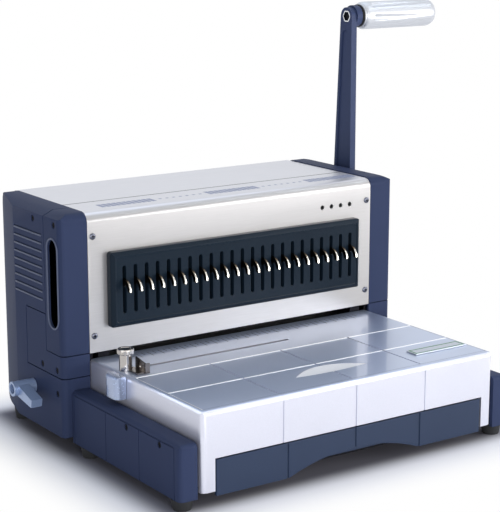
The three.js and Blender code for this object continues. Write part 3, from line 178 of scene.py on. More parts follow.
class Finish(Nodes):
    """The nodes of one material."""

    def __init__(self, name):
        self.material = bpy.data.materials.new(name)
        self.material.use_nodes = True
        super().__init__(self.material.node_tree)

    def place(self, stretch=EVENLY):
        """The point on the piece in metres, drawn out along an axis by a small number."""
        point = self.node("ShaderNodeTexCoord", output="Object")
        return self.node("ShaderNodeMapping", inputs={"Vector": point, "Scale": stretch})

    def noise(self, grain, detail=PLAIN_DETAIL, stretch=EVENLY):
        """Cloudy values from 0 to 1, one cloud being about a grain long."""
        inputs = {"Vector": self.place(stretch), "Scale": 1 / grain, "Detail": detail}
        return self.node("ShaderNodeTexNoise", inputs=inputs)

    def speckle(self, grain):
        """A value from 0 to 1 for each small cell."""
        inputs = {"Vector": self.place(), "Scale": 1 / grain}
        return self.node("ShaderNodeTexVoronoi", inputs=inputs, output="Color")

    def facing(self, way):
        """How squarely a face looks along a way, from -1 to 1."""
        return self.along(self.node("ShaderNodeTexCoord", output="Normal"), way)

    def painted_top_share(self):
        """1 on flat tops, 0 on upright faces; it masks the painted reflection colour of tops."""
        return self.rise(self.facing(UP), TOP_REFLECTION_START, TOP_REFLECTION_END)

    def tones(self, mask, colour, spread):
        """The colour, made darker and lighter by a spread where the mask is low and high."""
        return self.blend(mask, shade(colour, 1 - spread), shade(colour, 1 + spread))

    def bump(self, height, depth, strength):
        """Relief as deep as the depth in metres."""
        inputs = {"Height": height, "Distance": depth, "Strength": strength}
        return self.node("ShaderNodeBump", inputs=inputs)

    def surface(self, **sockets):
        inputs = {name.replace("_", " "): value for name, value in sockets.items()}
        shader = self.node("ShaderNodeBsdfPrincipled", inputs=inputs)
        self.node("ShaderNodeOutputMaterial", inputs={"Surface": shader})
        return self.material


def shade(colour, share=1.0):
    """The colour made lighter or darker by a share, with its alpha."""
    return (*(min(1.0, part * share) for part in colour), 1.0)


def swing(value, spread):
    """A value from 0 to 1 turned into a change of half a spread either way."""
    return (value - NOISE_MIDDLE) * spread


# Finishes: for each kind, the sizes of its patterns and how far they change tone, roughness and relief

PLASTIC_CLOUD = 40 * MM
PLASTIC_TONE_SHARE = 0.06
PLASTIC_GRAIN_ROUGHNESS = 0.16
PLASTIC_CLOUD_ROUGHNESS = 0.06
PLASTIC_RELIEF = 0.5


def moulded_plastic(name, colour, roughness, grain, depth, gloss):
    """Moulded plastic with a fine spark-eroded grain."""
    finish = Finish(name)
    clouds = finish.noise(PLASTIC_CLOUD, FINE_DETAIL)
    texture = finish.noise(grain)
    uneven = swing(texture, PLASTIC_GRAIN_ROUGHNESS) + swing(clouds, PLASTIC_CLOUD_ROUGHNESS)
    return finish.surface(
        Base_Color=finish.tones(clouds, colour, PLASTIC_TONE_SHARE),
        Roughness=roughness + uneven,
        Specular_IOR_Level=gloss,
        Normal=finish.bump(texture, depth, PLASTIC_RELIEF),
    )


FLAKE = 0.5 * MM
LACQUER_CLOUD = 60 * MM
LACQUER_FLOW = 5 * MM
LACQUER_FLOW_DEPTH = 0.02 * MM
LACQUER_FLAKE_SHARE = 0.5
LACQUER_CLOUD_SHARE = 0.5
LACQUER_TONE_SHARE = 0.07
LACQUER_FLAKE_ROUGHNESS = 0.06
LACQUER_RELIEF = 0.4


def metallic_lacquer(name, colour, roughness, metallic, coat, top=None):
    """Lacquer with fine metal flakes below a clear coat. Flat tops may take a colour of their own, a
    painted reflection.
    """
    finish = Finish(name)
    flakes = finish.speckle(FLAKE)
    clouds = finish.noise(LACQUER_CLOUD)
    flow = finish.noise(LACQUER_FLOW, SOFT_DETAIL)
    tone = swing(flakes, LACQUER_FLAKE_SHARE) + swing(clouds, LACQUER_CLOUD_SHARE) + NOISE_MIDDLE
    tint = finish.tones(tone, colour, LACQUER_TONE_SHARE)
    if top:
        # Painted reflection: flat tops take the top colour instead of the lacquer's own
        tint = finish.blend(finish.painted_top_share(), tint, finish.tones(tone, top, LACQUER_TONE_SHARE))
    return finish.surface(
        Base_Color=tint,
        Metallic=metallic,
        Roughness=roughness + swing(flakes, LACQUER_FLAKE_ROUGHNESS),
        Coat_Weight=coat,
        Normal=finish.bump(flow, LACQUER_FLOW_DEPTH, LACQUER_RELIEF),
    )


BRUSHED_CLOUD = 30 * MM
BRUSHED_TONE_SHARE = 0.08
BRUSHED_LINE_ROUGHNESS = 0.14
BRUSHED_CLOUD_ROUGHNESS = 0.08
BRUSHED_RELIEF = 0.5


def brushed(finish, tint, metallic, roughness, lines, depth):
    """The surface of a metal with these lines."""
    clouds = finish.noise(BRUSHED_CLOUD)
    uneven = swing(lines, BRUSHED_LINE_ROUGHNESS) + swing(clouds, BRUSHED_CLOUD_ROUGHNESS)
    return finish.surface(
        Base_Color=tint,
        Metallic=metallic,
        Roughness=roughness + uneven,
        Normal=finish.bump(lines, depth, BRUSHED_RELIEF),
    )


def brushed_metal(name, colour, roughness, stretch, line, depth, metallic):
    """Metal with fine lines, which may be drawn out along one axis."""
    finish = Finish(name)
    lines = finish.noise(line, FINE_DETAIL, stretch)
    tint = finish.tones(lines, colour, BRUSHED_TONE_SHARE)
    return brushed(finish, tint, metallic, roughness, lines, depth)


PANEL_LINE = 0.5 * MM
PANEL_LINE_DEPTH = 0.02 * MM
PANEL_LINE_SHARE = 0.16


def panel_sheet(name, front, top, roughness, metallic):
    """The bent sheet of the panel, brushed along its width, with a paler top strip that is a painted
    reflection.
    """
    finish = Finish(name)
    lines = finish.noise(PANEL_LINE, FINE_DETAIL, LONG_X)
    # Painted reflection: the flat top strip is paler than the front
    colour = finish.blend(finish.painted_top_share(), shade(front), shade(top))
    tint = finish.blend(lines * PANEL_LINE_SHARE, colour, BLACK)
    return brushed(finish, tint, metallic, roughness, lines, PANEL_LINE_DEPTH)


POLISHED_SMEAR = 6 * MM
POLISHED_TONE_SHARE = 0.03
POLISHED_SMEAR_ROUGHNESS = 0.06
POLISHED_DEPTH = 0.01 * MM
POLISHED_RELIEF = 0.3


def polished_metal(name, colour, roughness):
    """Plated metal with faint smears."""
    finish = Finish(name)
    smears = finish.noise(POLISHED_SMEAR, FINEST_DETAIL)
    return finish.surface(
        Base_Color=finish.tones(smears, colour, POLISHED_TONE_SHARE),
        Metallic=1.0,
        Roughness=roughness + smears * POLISHED_SMEAR_ROUGHNESS,
        Normal=finish.bump(smears, POLISHED_DEPTH, POLISHED_RELIEF),
    )


# Heights between which the rims of the hooks turn from bright to the painted shade of the roots, and how
# squarely a face looks sideways where the painted shade of the flat sides starts and is full
HOOK_ROOT_SHADE_START = 164 * MM
HOOK_ROOT_SHADE_FULL = 169 * MM
HOOK_SIDE_SHADE_START = 0.55
HOOK_SIDE_SHADE_FULL = 0.85
HOOK_SMEAR = 2 * MM
HOOK_ROUGHNESS = 0.22
HOOK_SIDE_ROUGHNESS = 0.12
HOOK_SMEAR_ROUGHNESS = 0.08


def hook_steel(name, flat, tip, root):
    """Punched steel hooks: flat sides darkened as painted shade, and rims that are bright at the tips
    and darken towards the roots as painted shade.
    """
    finish = Finish(name)
    smears = finish.noise(HOOK_SMEAR, FINE_DETAIL)
    # Painted shade: the rims darken with height towards the roots
    dull = finish.rise(finish.along(finish.place(), UP), HOOK_ROOT_SHADE_START, HOOK_ROOT_SHADE_FULL)
    rim = finish.blend(dull, shade(tip), shade(root))
    # Painted shade: faces that look sideways take the dark side colour
    side = finish.rise(abs(finish.facing(TO_THE_RIGHT)), HOOK_SIDE_SHADE_START, HOOK_SIDE_SHADE_FULL)
    return finish.surface(
        Base_Color=finish.blend(side, rim, shade(flat)),
        Metallic=1.0,
        Roughness=HOOK_ROUGHNESS + side * HOOK_SIDE_ROUGHNESS + smears * HOOK_SMEAR_ROUGHNESS,
        Normal=finish.bump(smears, POLISHED_DEPTH, POLISHED_RELIEF),
    )


RUBBER_PATCH = 8 * MM
RUBBER_GRAIN = 0.4 * MM
RUBBER_DARK_SHARE = 0.8
RUBBER_PALE_SHARE = 1.5
RUBBER_ROUGHNESS = 0.78
RUBBER_PATCH_ROUGHNESS = 0.2
RUBBER_DEPTH = 0.05 * MM
RUBBER_RELIEF = 0.6


def dusty_rubber(name, colour):
    """Dark rubber with dull patches."""
    finish = Finish(name)
    patches = finish.noise(RUBBER_PATCH, FINEST_DETAIL)
    dark, pale = shade(colour, RUBBER_DARK_SHARE), shade(colour, RUBBER_PALE_SHARE)
    return finish.surface(
        Base_Color=finish.blend(patches, dark, pale),
        Roughness=RUBBER_ROUGHNESS + swing(patches, RUBBER_PATCH_ROUGHNESS),
        Normal=finish.bump(finish.noise(RUBBER_GRAIN), RUBBER_DEPTH, RUBBER_RELIEF),
    )


INK_CLOUD = 1.5 * MM
INK_TONE_SHARE = 0.15
INK_ROUGHNESS = 0.5
INK_CLOUD_ROUGHNESS = 0.1


def printed_ink(name, colour):
    """A thin screen-printed mark, a little uneven; it also serves as painted shade in the top seam and
    the bed's border grooves.
    """
    finish = Finish(name)
    cover = finish.noise(INK_CLOUD, FINE_DETAIL)
    return finish.surface(
        Base_Color=finish.tones(cover, colour, INK_TONE_SHARE),
        Roughness=INK_ROUGHNESS + swing(cover, INK_CLOUD_ROUGHNESS),
    )


BLACK = (0, 0, 0, 1)
SLATE = (0.030, 0.042, 0.091)
LEVER_SLATE = (0.038, 0.054, 0.118)
# Painted highlight: paler slate for the louvre lips and the slot rim
HIGHLIGHT_SLATE = (0.085, 0.105, 0.17)
COMB_NAVY = (0.008, 0.016, 0.027)
DRAWER_NAVY = (0.021, 0.035, 0.073)
SCREW_AND_SHADE_NAVY = (0.006, 0.007, 0.010)
PITCH_BLACK = (0.004, 0.004, 0.005)
RUBBER_BLACK = (0.010, 0.011, 0.013)
SILVER = (0.45, 0.445, 0.45)
# Painted reflection: paler silver for the panel's flat top strip
PANEL_TOP_PAINTED_REFLECTION = (0.70, 0.70, 0.74)
BED_SILVER = (0.64, 0.655, 0.75)
# Painted reflection: the bed's top is darker and bluer than its sides
BED_TOP_PAINTED_REFLECTION = (0.45, 0.52, 0.68)

# Colour, roughness, size and depth of the grain, gloss
PLASTICS = {
    "slate_plastic": (SLATE, 0.55, 0.7 * MM, 0.06 * MM, 0.07),
    "dark_plastic": (DRAWER_NAVY, 0.36, 0.6 * MM, 0.03 * MM, 0.25),
    "black_plastic": (PITCH_BLACK, 0.6, 0.6 * MM, 0.03 * MM, 0.2),
    "lever_paint": (LEVER_SLATE, 0.42, 0.5 * MM, 0.05 * MM, 0.12),
    "comb_plastic": (COMB_NAVY, 0.3, 0.6 * MM, 0.03 * MM, 0.1),
    "worn_plastic": (HIGHLIGHT_SLATE, 0.4, 0.7 * MM, 0.04 * MM, 0.3),
    # Black of the screws in the covers' recesses, and painted shade in the recesses of screws and the
    # bolt
    "screw_black": (SCREW_AND_SHADE_NAVY, 0.5, 0.6 * MM, 0.02 * MM, 0.08),
}

# Colour, roughness, share of metal, clear coat and the painted reflection colour of flat tops where
# there is one
LACQUERS = {
    "bed_silver": (BED_SILVER, 0.36, 0.7, 0.45, BED_TOP_PAINTED_REFLECTION),
    "knob_silver": ((0.27, 0.36, 0.55), 0.3, 0.35, 0.3),
    "cap_silver": ((0.36, 0.43, 0.60), 0.25, 0.6, 0.6),
    # Painted highlight: near-white lacquer for the beads in the bed's grooves
    "groove_white": ((0.97, 0.98, 1.0), 0.3, 0.0, 0.6),
    # Painted highlight: a paler silver for the thumb recess's dish
    "dish_silver": ((0.90, 0.90, 0.92), 0.35, 0.1, 0.2),
}

# Colour, roughness, way of the lines, their size and depth, share of metal
BRUSHED_METALS = {
    "badge_silver": ((0.50, 0.54, 0.60), 0.42, LONG_X, 0.4 * MM, 0.02 * MM, 0.6),
    "zinc_steel": ((0.46, 0.47, 0.47), 0.42, EVENLY, 4 * MM, 0.02 * MM, 1.0),
    # Painted shade: tool steel darkened for the throat
    "tool_steel": ((0.06, 0.06, 0.065), 0.4, LONG_X, 0.4 * MM, 0.02 * MM, 1.0),
    # Painted shade: steel made near-black for parts deep in the throat and under the drawer
    "black_steel": ((0.012, 0.012, 0.015), 0.5, LONG_X, 0.4 * MM, 0.02 * MM, 1.0),
    "bronze": ((0.47, 0.31, 0.13), 0.4, EVENLY, 1 * MM, 0.02 * MM, 1.0),
    "grip_aluminium": ((0.58, 0.60, 0.64), 0.4, LONG_X, 1 * MM, 0.003 * MM, 0.7),
}

# Colour, roughness
POLISHED_METALS = {
    "chrome": ((0.46, 0.44, 0.425), 0.08),
    "fence_steel": ((0.17, 0.155, 0.15), 0.12),
    "bolt_steel": ((0.72, 0.74, 0.78), 0.2),
    "screw_steel": ((0.14, 0.15, 0.19), 0.25),
}

# Colours of the sides, darkened as painted shade, of the tips, and of the roots, darkened as painted
# shade
HOOK_STEELS = {"hook_steel": ((0.018, 0.012, 0.010), (0.88, 0.85, 0.78), (0.16, 0.12, 0.08))}

# Colours of the front and of the top, whose paler colour is a painted reflection, roughness, share of
# metal
PANEL_SHEETS = {"panel_silver": (SILVER, PANEL_TOP_PAINTED_REFLECTION, 0.36, 0.6)}

# Colour alone
RUBBERS = {"rubber": (RUBBER_BLACK,)}
INKS = {
    "tick_ink": ((0.05, 0.06, 0.09),),
    "strip_ink": ((0.26, 0.29, 0.41),),
    # Painted shade: dark lines over the bed's border grooves
    "line_ink": ((0.16, 0.20, 0.30),),
    # Painted shade: near-black for the gap of the top seam
    "seam_ink": ((0.02, 0.022, 0.03),),
    "border_ink": ((0.05, 0.20, 0.09),),
}

FINISHES = {
    name: make(name, *values)
    for make, rows in (
        (moulded_plastic, PLASTICS),
        (metallic_lacquer, LACQUERS),
        (brushed_metal, BRUSHED_METALS),
        (polished_metal, POLISHED_METALS),
        (hook_steel, HOOK_STEELS),
        (panel_sheet, PANEL_SHEETS),
        (dusty_rubber, RUBBERS),
        (printed_ink, INKS),
    )
    for name, values in rows.items()
}

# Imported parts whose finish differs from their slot's
OWN_FINISHES = {
    "comb_plate": "comb_plastic",
    "hook_bar": "hook_steel",
    "guide_fence": "fence_steel",
    "guide_end_cap": "cap_silver",
    # Painted shade: these parts lie in the throat and under the drawer and are made near-black
    "base_plate": "black_steel",
    "frame_plate_left": "black_steel",
    "frame_plate_right": "black_steel",
    "stripper_plate": "black_steel",
    "die_block": "black_steel",
}


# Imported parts: each gets its slot's finish and softened edges

EDGE = 0.5 * MM
# Widths of the rounded edges that differ from the usual one, 0 where they stay sharp
EDGES = {
    "bed_cover": 0.35 * MM,
    "front_panel": 0.4 * MM,
    "top_cover": 0.4 * MM,
    "rear_cover": 0.4 * MM,
    "comb_plate": 0.4 * MM,
    "hook_bar": 0.3 * MM,
    "lever_arm": 0.9 * MM,
    "badge_plate": 0.3 * MM,
    "guide_fence": 0.2 * MM,
    "guide_end_cap": 0.9 * MM,
    "guide_slider": 0.2 * MM,
    "margin_knob": 0.9 * MM,
    "grip_bolt": 0.3 * MM,
    "margin_shaft": 0.15 * MM,
    "drive_pinion_right": 0.15 * MM,
    "drive_pinion_left": 0.15 * MM,
    "punch_carriage": 0.15 * MM,
    "return_spring_right": 0,
    "return_spring_left": 0,
}
JOIN_DISTANCE = 0.01 * MM
SMOOTH_ANGLE = math.radians(35)
BEVEL_SEGMENTS = 2
FLAT_FACE_WEIGHT = 100


def shading_group():
    """Smooth shading that stops at every edge sharper than the smooth angle."""
    group = bpy.data.node_groups.new("smooth_by_angle", "GeometryNodeTree")
    for way in ("INPUT", "OUTPUT"):
        group.interface.new_socket("Geometry", in_out=way, socket_type="NodeSocketGeometry")
    nodes, links = group.nodes, group.links
    start = nodes.new("NodeGroupInput")
    smooth = nodes.new("GeometryNodeSetShadeSmooth")
    smooth.domain = "FACE"
    angle = nodes.new("GeometryNodeInputMeshEdgeAngle")
    is_sharp = nodes.new("FunctionNodeCompare")
    is_sharp.operation = "GREATER_THAN"
    is_sharp.inputs["B"].default_value = SMOOTH_ANGLE
    crease = nodes.new("GeometryNodeSetShadeSmooth")
    crease.domain = "EDGE"
    crease.inputs["Shade Smooth"].default_value = False
    end = nodes.new("NodeGroupOutput")
    links.new(start.outputs[0], smooth.inputs["Geometry"])
    links.new(smooth.outputs[0], crease.inputs["Geometry"])
    links.new(angle.outputs[0], is_sharp.inputs["A"])
    links.new(is_sharp.outputs[0], crease.inputs["Selection"])
    links.new(crease.outputs[0], end.inputs[0])
    return group


SHADING = shading_group()


def round_edges(part, width):
    """A bevel on the sharp edges of a part."""
    bevel = part.modifiers.new("edges", "BEVEL")
    bevel.width = width
    bevel.segments = BEVEL_SEGMENTS
    bevel.limit_method = "ANGLE"
    bevel.angle_limit = SMOOTH_ANGLE
    return bevel


def soften(part, width):
    """Joins a part's split corners, rounds its sharp edges and smooths its curved faces."""
    weld = part.modifiers.new("weld", "WELD")
    weld.merge_threshold = JOIN_DISTANCE
    if width:
        round_edges(part, width)
    shading = part.modifiers.new("shading", "NODES")
    shading.node_group = SHADING
    flats = part.modifiers.new("flats", "WEIGHTED_NORMAL")
    flats.weight = FLAT_FACE_WEIGHT
    flats.keep_sharp = True


for row in frame["record"]["subparts"]:
    part = frame["nodes"][row["node"]]
    part.data.materials.clear()
    part.data.materials.append(FINISHES[OWN_FINISHES.get(part.name, row["material_slot"])])
    soften(part, EDGES.get(part.name, EDGE))


# Mesh code for the pieces that are built here

TURN = {
    "x": lambda u, v, w: Vector((w, u, v)),
    "y": lambda u, v, w: Vector((v, w, u)),
    "z": lambda u, v, w: Vector((u, v, w)),
}


class Shape:
    """Points and faces of one piece, gathered part by part."""

    def __init__(self):
        self.points = []
        self.faces = []

    def skin(self, rings):
        """A closed skin over rings of points, capped at both ends."""
        start, sides = len(self.points), len(rings[0])
        for ring in rings:
            self.points.extend(ring)
        for level in range(len(rings) - 1):
            low = start + level * sides
            for i in range(sides):
                after = (i + 1) % sides
                self.faces.append((low + i, low + after, low + sides + after, low + sides + i))
        last = start + (len(rings) - 1) * sides
        self.faces.append(tuple(reversed(range(start, start + sides))))
        self.faces.append(tuple(range(last, last + sides)))

    def hoop(self, rings):
        """A closed band whose last ring meets its first."""
        start, sides, count = len(self.points), len(rings[0]), len(rings)
        for ring in rings:
            self.points.extend(ring)
        for level in range(count):
            low, high = start + level * sides, start + (level + 1) % count * sides
            for i in range(sides):
                after = (i + 1) % sides
                self.faces.append((low + i, low + after, high + after, high + i))

    def block(self, low, high):
        """A slab between two corners."""
        corners = [(low[0], low[1]), (high[0], low[1]), (high[0], high[1]), (low[0], high[1])]
        self.skin([[Vector((x, y, z)) for x, y in corners] for z in (low[2], high[2])])

    def piece(self, name, body, finish, edge=0.0):
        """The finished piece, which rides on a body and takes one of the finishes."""
        mesh = bpy.data.meshes.new(name)
        mesh.from_pydata(self.points, [], self.faces)
        shell = bmesh.new()
        shell.from_mesh(mesh)
        bmesh.ops.recalc_face_normals(shell, faces=shell.faces)
        shell.to_mesh(mesh)
        shell.free()
        mesh.materials.append(FINISHES[finish])
        made = bpy.data.objects.new(name, mesh)
        scene.collection.objects.link(made)
        mesh.polygons.foreach_set("use_smooth", [True] * len(mesh.polygons))
        mesh.set_sharp_from_angle(angle=SMOOTH_ANGLE)
        if edge:
            round_edges(made, edge).harden_normals = True
        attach(made, body)
        return made


def ring(axis, middle, place, radius_at, sides):
    """Points round an axis, where radius_at gives the radius at each angle."""
    points = []
    for i in range(sides):
        angle = FULL_TURN * i / sides
        radius = radius_at(angle)
        u = middle[0] + radius * math.cos(angle)
        v = middle[1] + radius * math.sin(angle)
        points.append(TURN[axis](u, v, place))
    return points


def even(radius):
    """The same radius all round."""
    return lambda angle: radius


def hexagon(radius):
    """A six-sided outline, with its radius measured at the corners."""
    sixth = FULL_TURN / 6

    def radius_at(angle):
        folded = angle % sixth - sixth / 2
        return radius * math.cos(sixth / 2) / math.cos(folded)

    return radius_at


def cross(half_width, reach):
    """The outline of a cross recess."""
    quarter = FULL_TURN / 4

    def radius_at(angle):
        folded = abs((angle + quarter / 2) % quarter - quarter / 2)
        if math.tan(folded) * reach <= half_width:
            return reach / math.cos(folded)
        return half_width / math.sin(folded)

    return radius_at


def lathe(shape, axis, middle, profile, sides):
    """A part whose outlines are given at places along an axis."""
    shape.skin([ring(axis, middle, place, outline, sides) for place, outline in profile])


def rounded(low, high, radius, way, steps=6):
    """Places and radii of a quarter round from low to high, where way 1 closes it and -1 opens it."""
    profile = []
    for i in range(steps + 1):
        turn = FULL_TURN / 4 * i / steps
        if way < 0:
            turn = FULL_TURN / 4 - turn
        share = math.sin(turn) if way > 0 else 1 - math.sin(turn)
        profile.append((low + (high - low) * share, even(radius * math.cos(turn))))
    return profile


# Screws: a domed head with a cross recess

SCREW_SIDES = 48
SCREW_WALL_SHARE = 0.45
SCREW_EDGE_SHARE = 0.8
SCREW_DOME_SHARE = 0.86
SCREW_FLAT_SHARE = 0.62
CROSS_WIDTH_SHARE = 0.15
CROSS_REACH_SHARE = 0.58


def screw_head(shape, axis, middle, seat, top, radius):
    """A head from its seat to its top, which may lie either way along the axis."""
    rise = top - seat
    recess = cross(CROSS_WIDTH_SHARE * radius, CROSS_REACH_SHARE * radius)
    profile = [
        (seat, even(radius)),
        (seat + SCREW_WALL_SHARE * rise, even(radius)),
        (seat + SCREW_EDGE_SHARE * rise, even(SCREW_DOME_SHARE * radius)),
        (top, even(SCREW_FLAT_SHARE * radius)),
        (top, recess),
        (seat + SCREW_WALL_SHARE * rise, recess),
    ]
    lathe(shape, axis, middle, profile, SCREW_SIDES)


def screw_recess_shade(shape, axis, middle, seat, top, radius):
    """A dark piece at the bottom of a head's recess, as painted shade."""
    rise = top - seat
    recess = cross(CROSS_WIDTH_SHARE * radius, CROSS_REACH_SHARE * radius)
    profile = [(seat + share * rise, recess) for share in (SCREW_WALL_SHARE / 2, SCREW_EDGE_SHARE)]
    lathe(shape, axis, middle, profile, SCREW_SIDES)


def panel_screws():
    """The screws of the front panel, each with a dark cross of painted shade in its recess."""
    recess_shades = Shape()
    for level in ("low", "high"):
        for side in ("right", "left"):
            node = f"panel_screw_{level}_{side}"
            low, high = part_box(node)
            middle = ((low.z + high.z) / 2, (low.x + high.x) / 2)
            radius = (high.x - low.x) / 2
            head = Shape()
            screw_head(head, "y", middle, PANEL_FACE_Y + SEAT, low.y, radius)
            screw_recess_shade(recess_shades, "y", middle, PANEL_FACE_Y + SEAT, low.y, radius)
            made = head.piece(f"panel_screw_head_{level}_{side}", "root", "screw_steel")
            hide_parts(node)
    # Painted shade: the crosses are dark pieces in the recesses
    recess_shades.piece("panel_screw_recess_shade", "root", "screw_black")


# Places of the screws on the side covers, and their recesses
COVER_SCREW_INSET = 12.5 * MM
COVER_SCREW_DROP = 11 * MM
COVER_SCREW_BEHIND_SEAM = 23 * MM
MIDDLE_SCREW_RISE = 6.5 * MM
MIDDLE_SCREW_BACK = 31 * MM
LOW_SCREW_DROP = 17.4 * MM
HOUSING_SCREW_SHARES = (0.53, 0.827)
HOUSING_SCREW_DROP = 7.8 * MM
RECESS_DEPTH = 1.8 * MM
RECESS_SCREW_RADIUS = 3.0 * MM
RECESS_SCREW_HEIGHT = 1.2 * MM


def cover_screws(side, way):
    """The dark screws in the recesses of one side's covers and housing."""
    shape = Shape()
    _, front_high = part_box(f"side_cover_front_{side}")
    main_low, main_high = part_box(f"side_cover_main_{side}")
    middle_low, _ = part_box(f"side_cover_middle_{side}")
    housing_low, housing_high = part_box(f"front_housing_{side}")
    inset = main_low.y + COVER_SCREW_INSET
    upper = main_high.z - COVER_SCREW_DROP
    middle = middle_low.z + MIDDLE_SCREW_RISE
    places = [
        (inset, upper),
        (front_high.y + COVER_SCREW_BEHIND_SEAM, upper),
        (inset, middle),
        (inset + MIDDLE_SCREW_BACK, middle),
        (inset, middle_low.z - LOW_SCREW_DROP),
    ]
    cover_outer = main_high.x if way > 0 else main_low.x
    housing_outer = housing_high.x if way > 0 else housing_low.x
    height = housing_high.z - HOUSING_SCREW_DROP
    length = housing_low.y - PANEL_FACE_Y
    housing_places = [(PANEL_FACE_Y + share * length, height) for share in HOUSING_SCREW_SHARES]
    for outer, spots in ((cover_outer, places), (housing_outer, housing_places)):
        seat = outer - way * (RECESS_DEPTH - SEAT)
        top = seat + way * RECESS_SCREW_HEIGHT
        for y, z in spots:
            screw_head(shape, "x", (y, z), seat, top, RECESS_SCREW_RADIUS)
    shape.piece(f"cover_screws_{side}", "root", "screw_black")


# Side covers: a lip below each louvre, and the rim of the tall slot, both paler as painted highlights

LOUVRES = 9
LOUVRE_PITCH = 8.1 * MM
LOUVRE_DROP = 23.5 * MM
LOUVRE_HALF_WIDTH = 0.8 * MM
LOUVRE_FRONT = 38 * MM
LOUVRE_BACK = 98 * MM
LIP_RADIUS = 0.8 * MM
LIP_SIDES = 16


def louvre_lips(side, way):
    """A thin rounded bead along the lower edge of each louvre, paler as a painted highlight."""
    shape = Shape()
    low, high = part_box(f"side_cover_main_{side}")
    outer = high.x if way > 0 else low.x
    front, back = PANEL_FACE_Y + LOUVRE_FRONT, PANEL_FACE_Y + LOUVRE_BACK
    for i in range(LOUVRES):
        z = PANEL_HIGH.z - LOUVRE_DROP - i * LOUVRE_PITCH - LOUVRE_HALF_WIDTH - LIP_RADIUS / 2
        profile = rounded(front, front + LIP_RADIUS, LIP_RADIUS, -1)
        profile += rounded(back - LIP_RADIUS, back, LIP_RADIUS, 1)
        lathe(shape, "y", (z, outer), profile[1:-1], LIP_SIDES)
    shape.piece(f"louvre_lips_{side}", "root", "worn_plastic")


SLOT_FRONT = 5.5 * MM
SLOT_BACK = 27 * MM
SLOT_RISE = 26 * MM
SLOT_DROP = 24 * MM
RIM_RADIUS = 0.9 * MM
RIM_SIDES = 12
RIM_STEPS = 16


def slot_rim():
    """A rounded rim round the tall slot of the left cover, paler as a painted highlight."""
    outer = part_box("side_cover_front_left")[0].x
    radius = (SLOT_BACK - SLOT_FRONT) / 2
    y = PANEL_FACE_Y + (SLOT_FRONT + SLOT_BACK) / 2
    ends = (PANEL_HIGH.z - SLOT_DROP - radius, PANEL_LOW.z + SLOT_RISE + radius)
    rings = []
    for half, z in enumerate(ends):
        for i in range(RIM_STEPS + 1):
            turn = FULL_TURN / 2 * (half + i / RIM_STEPS)
            away = Vector((0, math.cos(turn), math.sin(turn)))
            middle = Vector((outer, y, z)) + away * radius
            rings.append([
                middle + RIM_RADIUS * (away * math.cos(angle) + Vector((math.sin(angle), 0, 0)))
                for angle in (FULL_TURN * k / RIM_SIDES for k in range(RIM_SIDES))
            ])
    shape = Shape()
    shape.hoop(rings)
    shape.piece("slot_rim", "root", "worn_plastic")


# Return springs, which the punch carriage presses together

SPRING_TURNS = 6
SPRING_STEPS = 28
SPRING_WIRE = 0.8 * MM
SPRING_WIRE_SIDES = 12


def return_spring(side):
    """A wound coil in the place of the imported return spring, which on the machine shortens as the
    punch goes down.
    """
    node = f"return_spring_{side}"
    low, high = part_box(node)
    centre = (low + high) / 2
    turn_radius = (high.x - low.x) / 2 - SPRING_WIRE
    start, end = low.z + SPRING_WIRE, high.z - SPRING_WIRE
    steps = SPRING_TURNS * SPRING_STEPS
    rings = []
    for step in range(steps + 1):
        angle = FULL_TURN * step / SPRING_STEPS
        outward = Vector((math.cos(angle), math.sin(angle), 0))
        height = start + (end - start) * step / steps
        middle = Vector((centre.x, centre.y, height)) + outward * turn_radius
        rings.append([
            middle + SPRING_WIRE * (outward * math.cos(around) + Vector((0, 0, math.sin(around))))
            for around in (FULL_TURN * k / SPRING_WIRE_SIDES for k in range(SPRING_WIRE_SIDES))
        ])
    shape = Shape()
    shape.skin(rings)
    made = shape.piece(f"spring_coil_{side}", "root", "zinc_steel")
    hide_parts(node)
    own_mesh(made)


# Grip: a satin barrel with long flutes, a short neck and a rounded end

GRIP_SIDES = 216
GRIP_NECK_SHARE = 0.865
GRIP_NECK_LENGTH = 1.5 * MM
GRIP_SHOULDER = 5 * MM
GRIP_BORE = 4.6 * MM
GRIP_BORE_SHARE = 0.92
GRIP_END = 9 * MM
GRIP_END_SHARE = 0.71
GRIP_LIP = 0.6 * MM
FLUTES = 6
FLUTE_TURN = math.radians(7)
FLUTE_START = 11 * MM
FLUTE_LENGTH = 72 * MM
FLUTE_WALL = 0.5 * MM
FLUTE_DEPTH = 2.2 * MM
FLUTE_HALF_ANGLE = math.radians(15)
FLUTE_RINGS = 36
ROUND_STEPS = 12


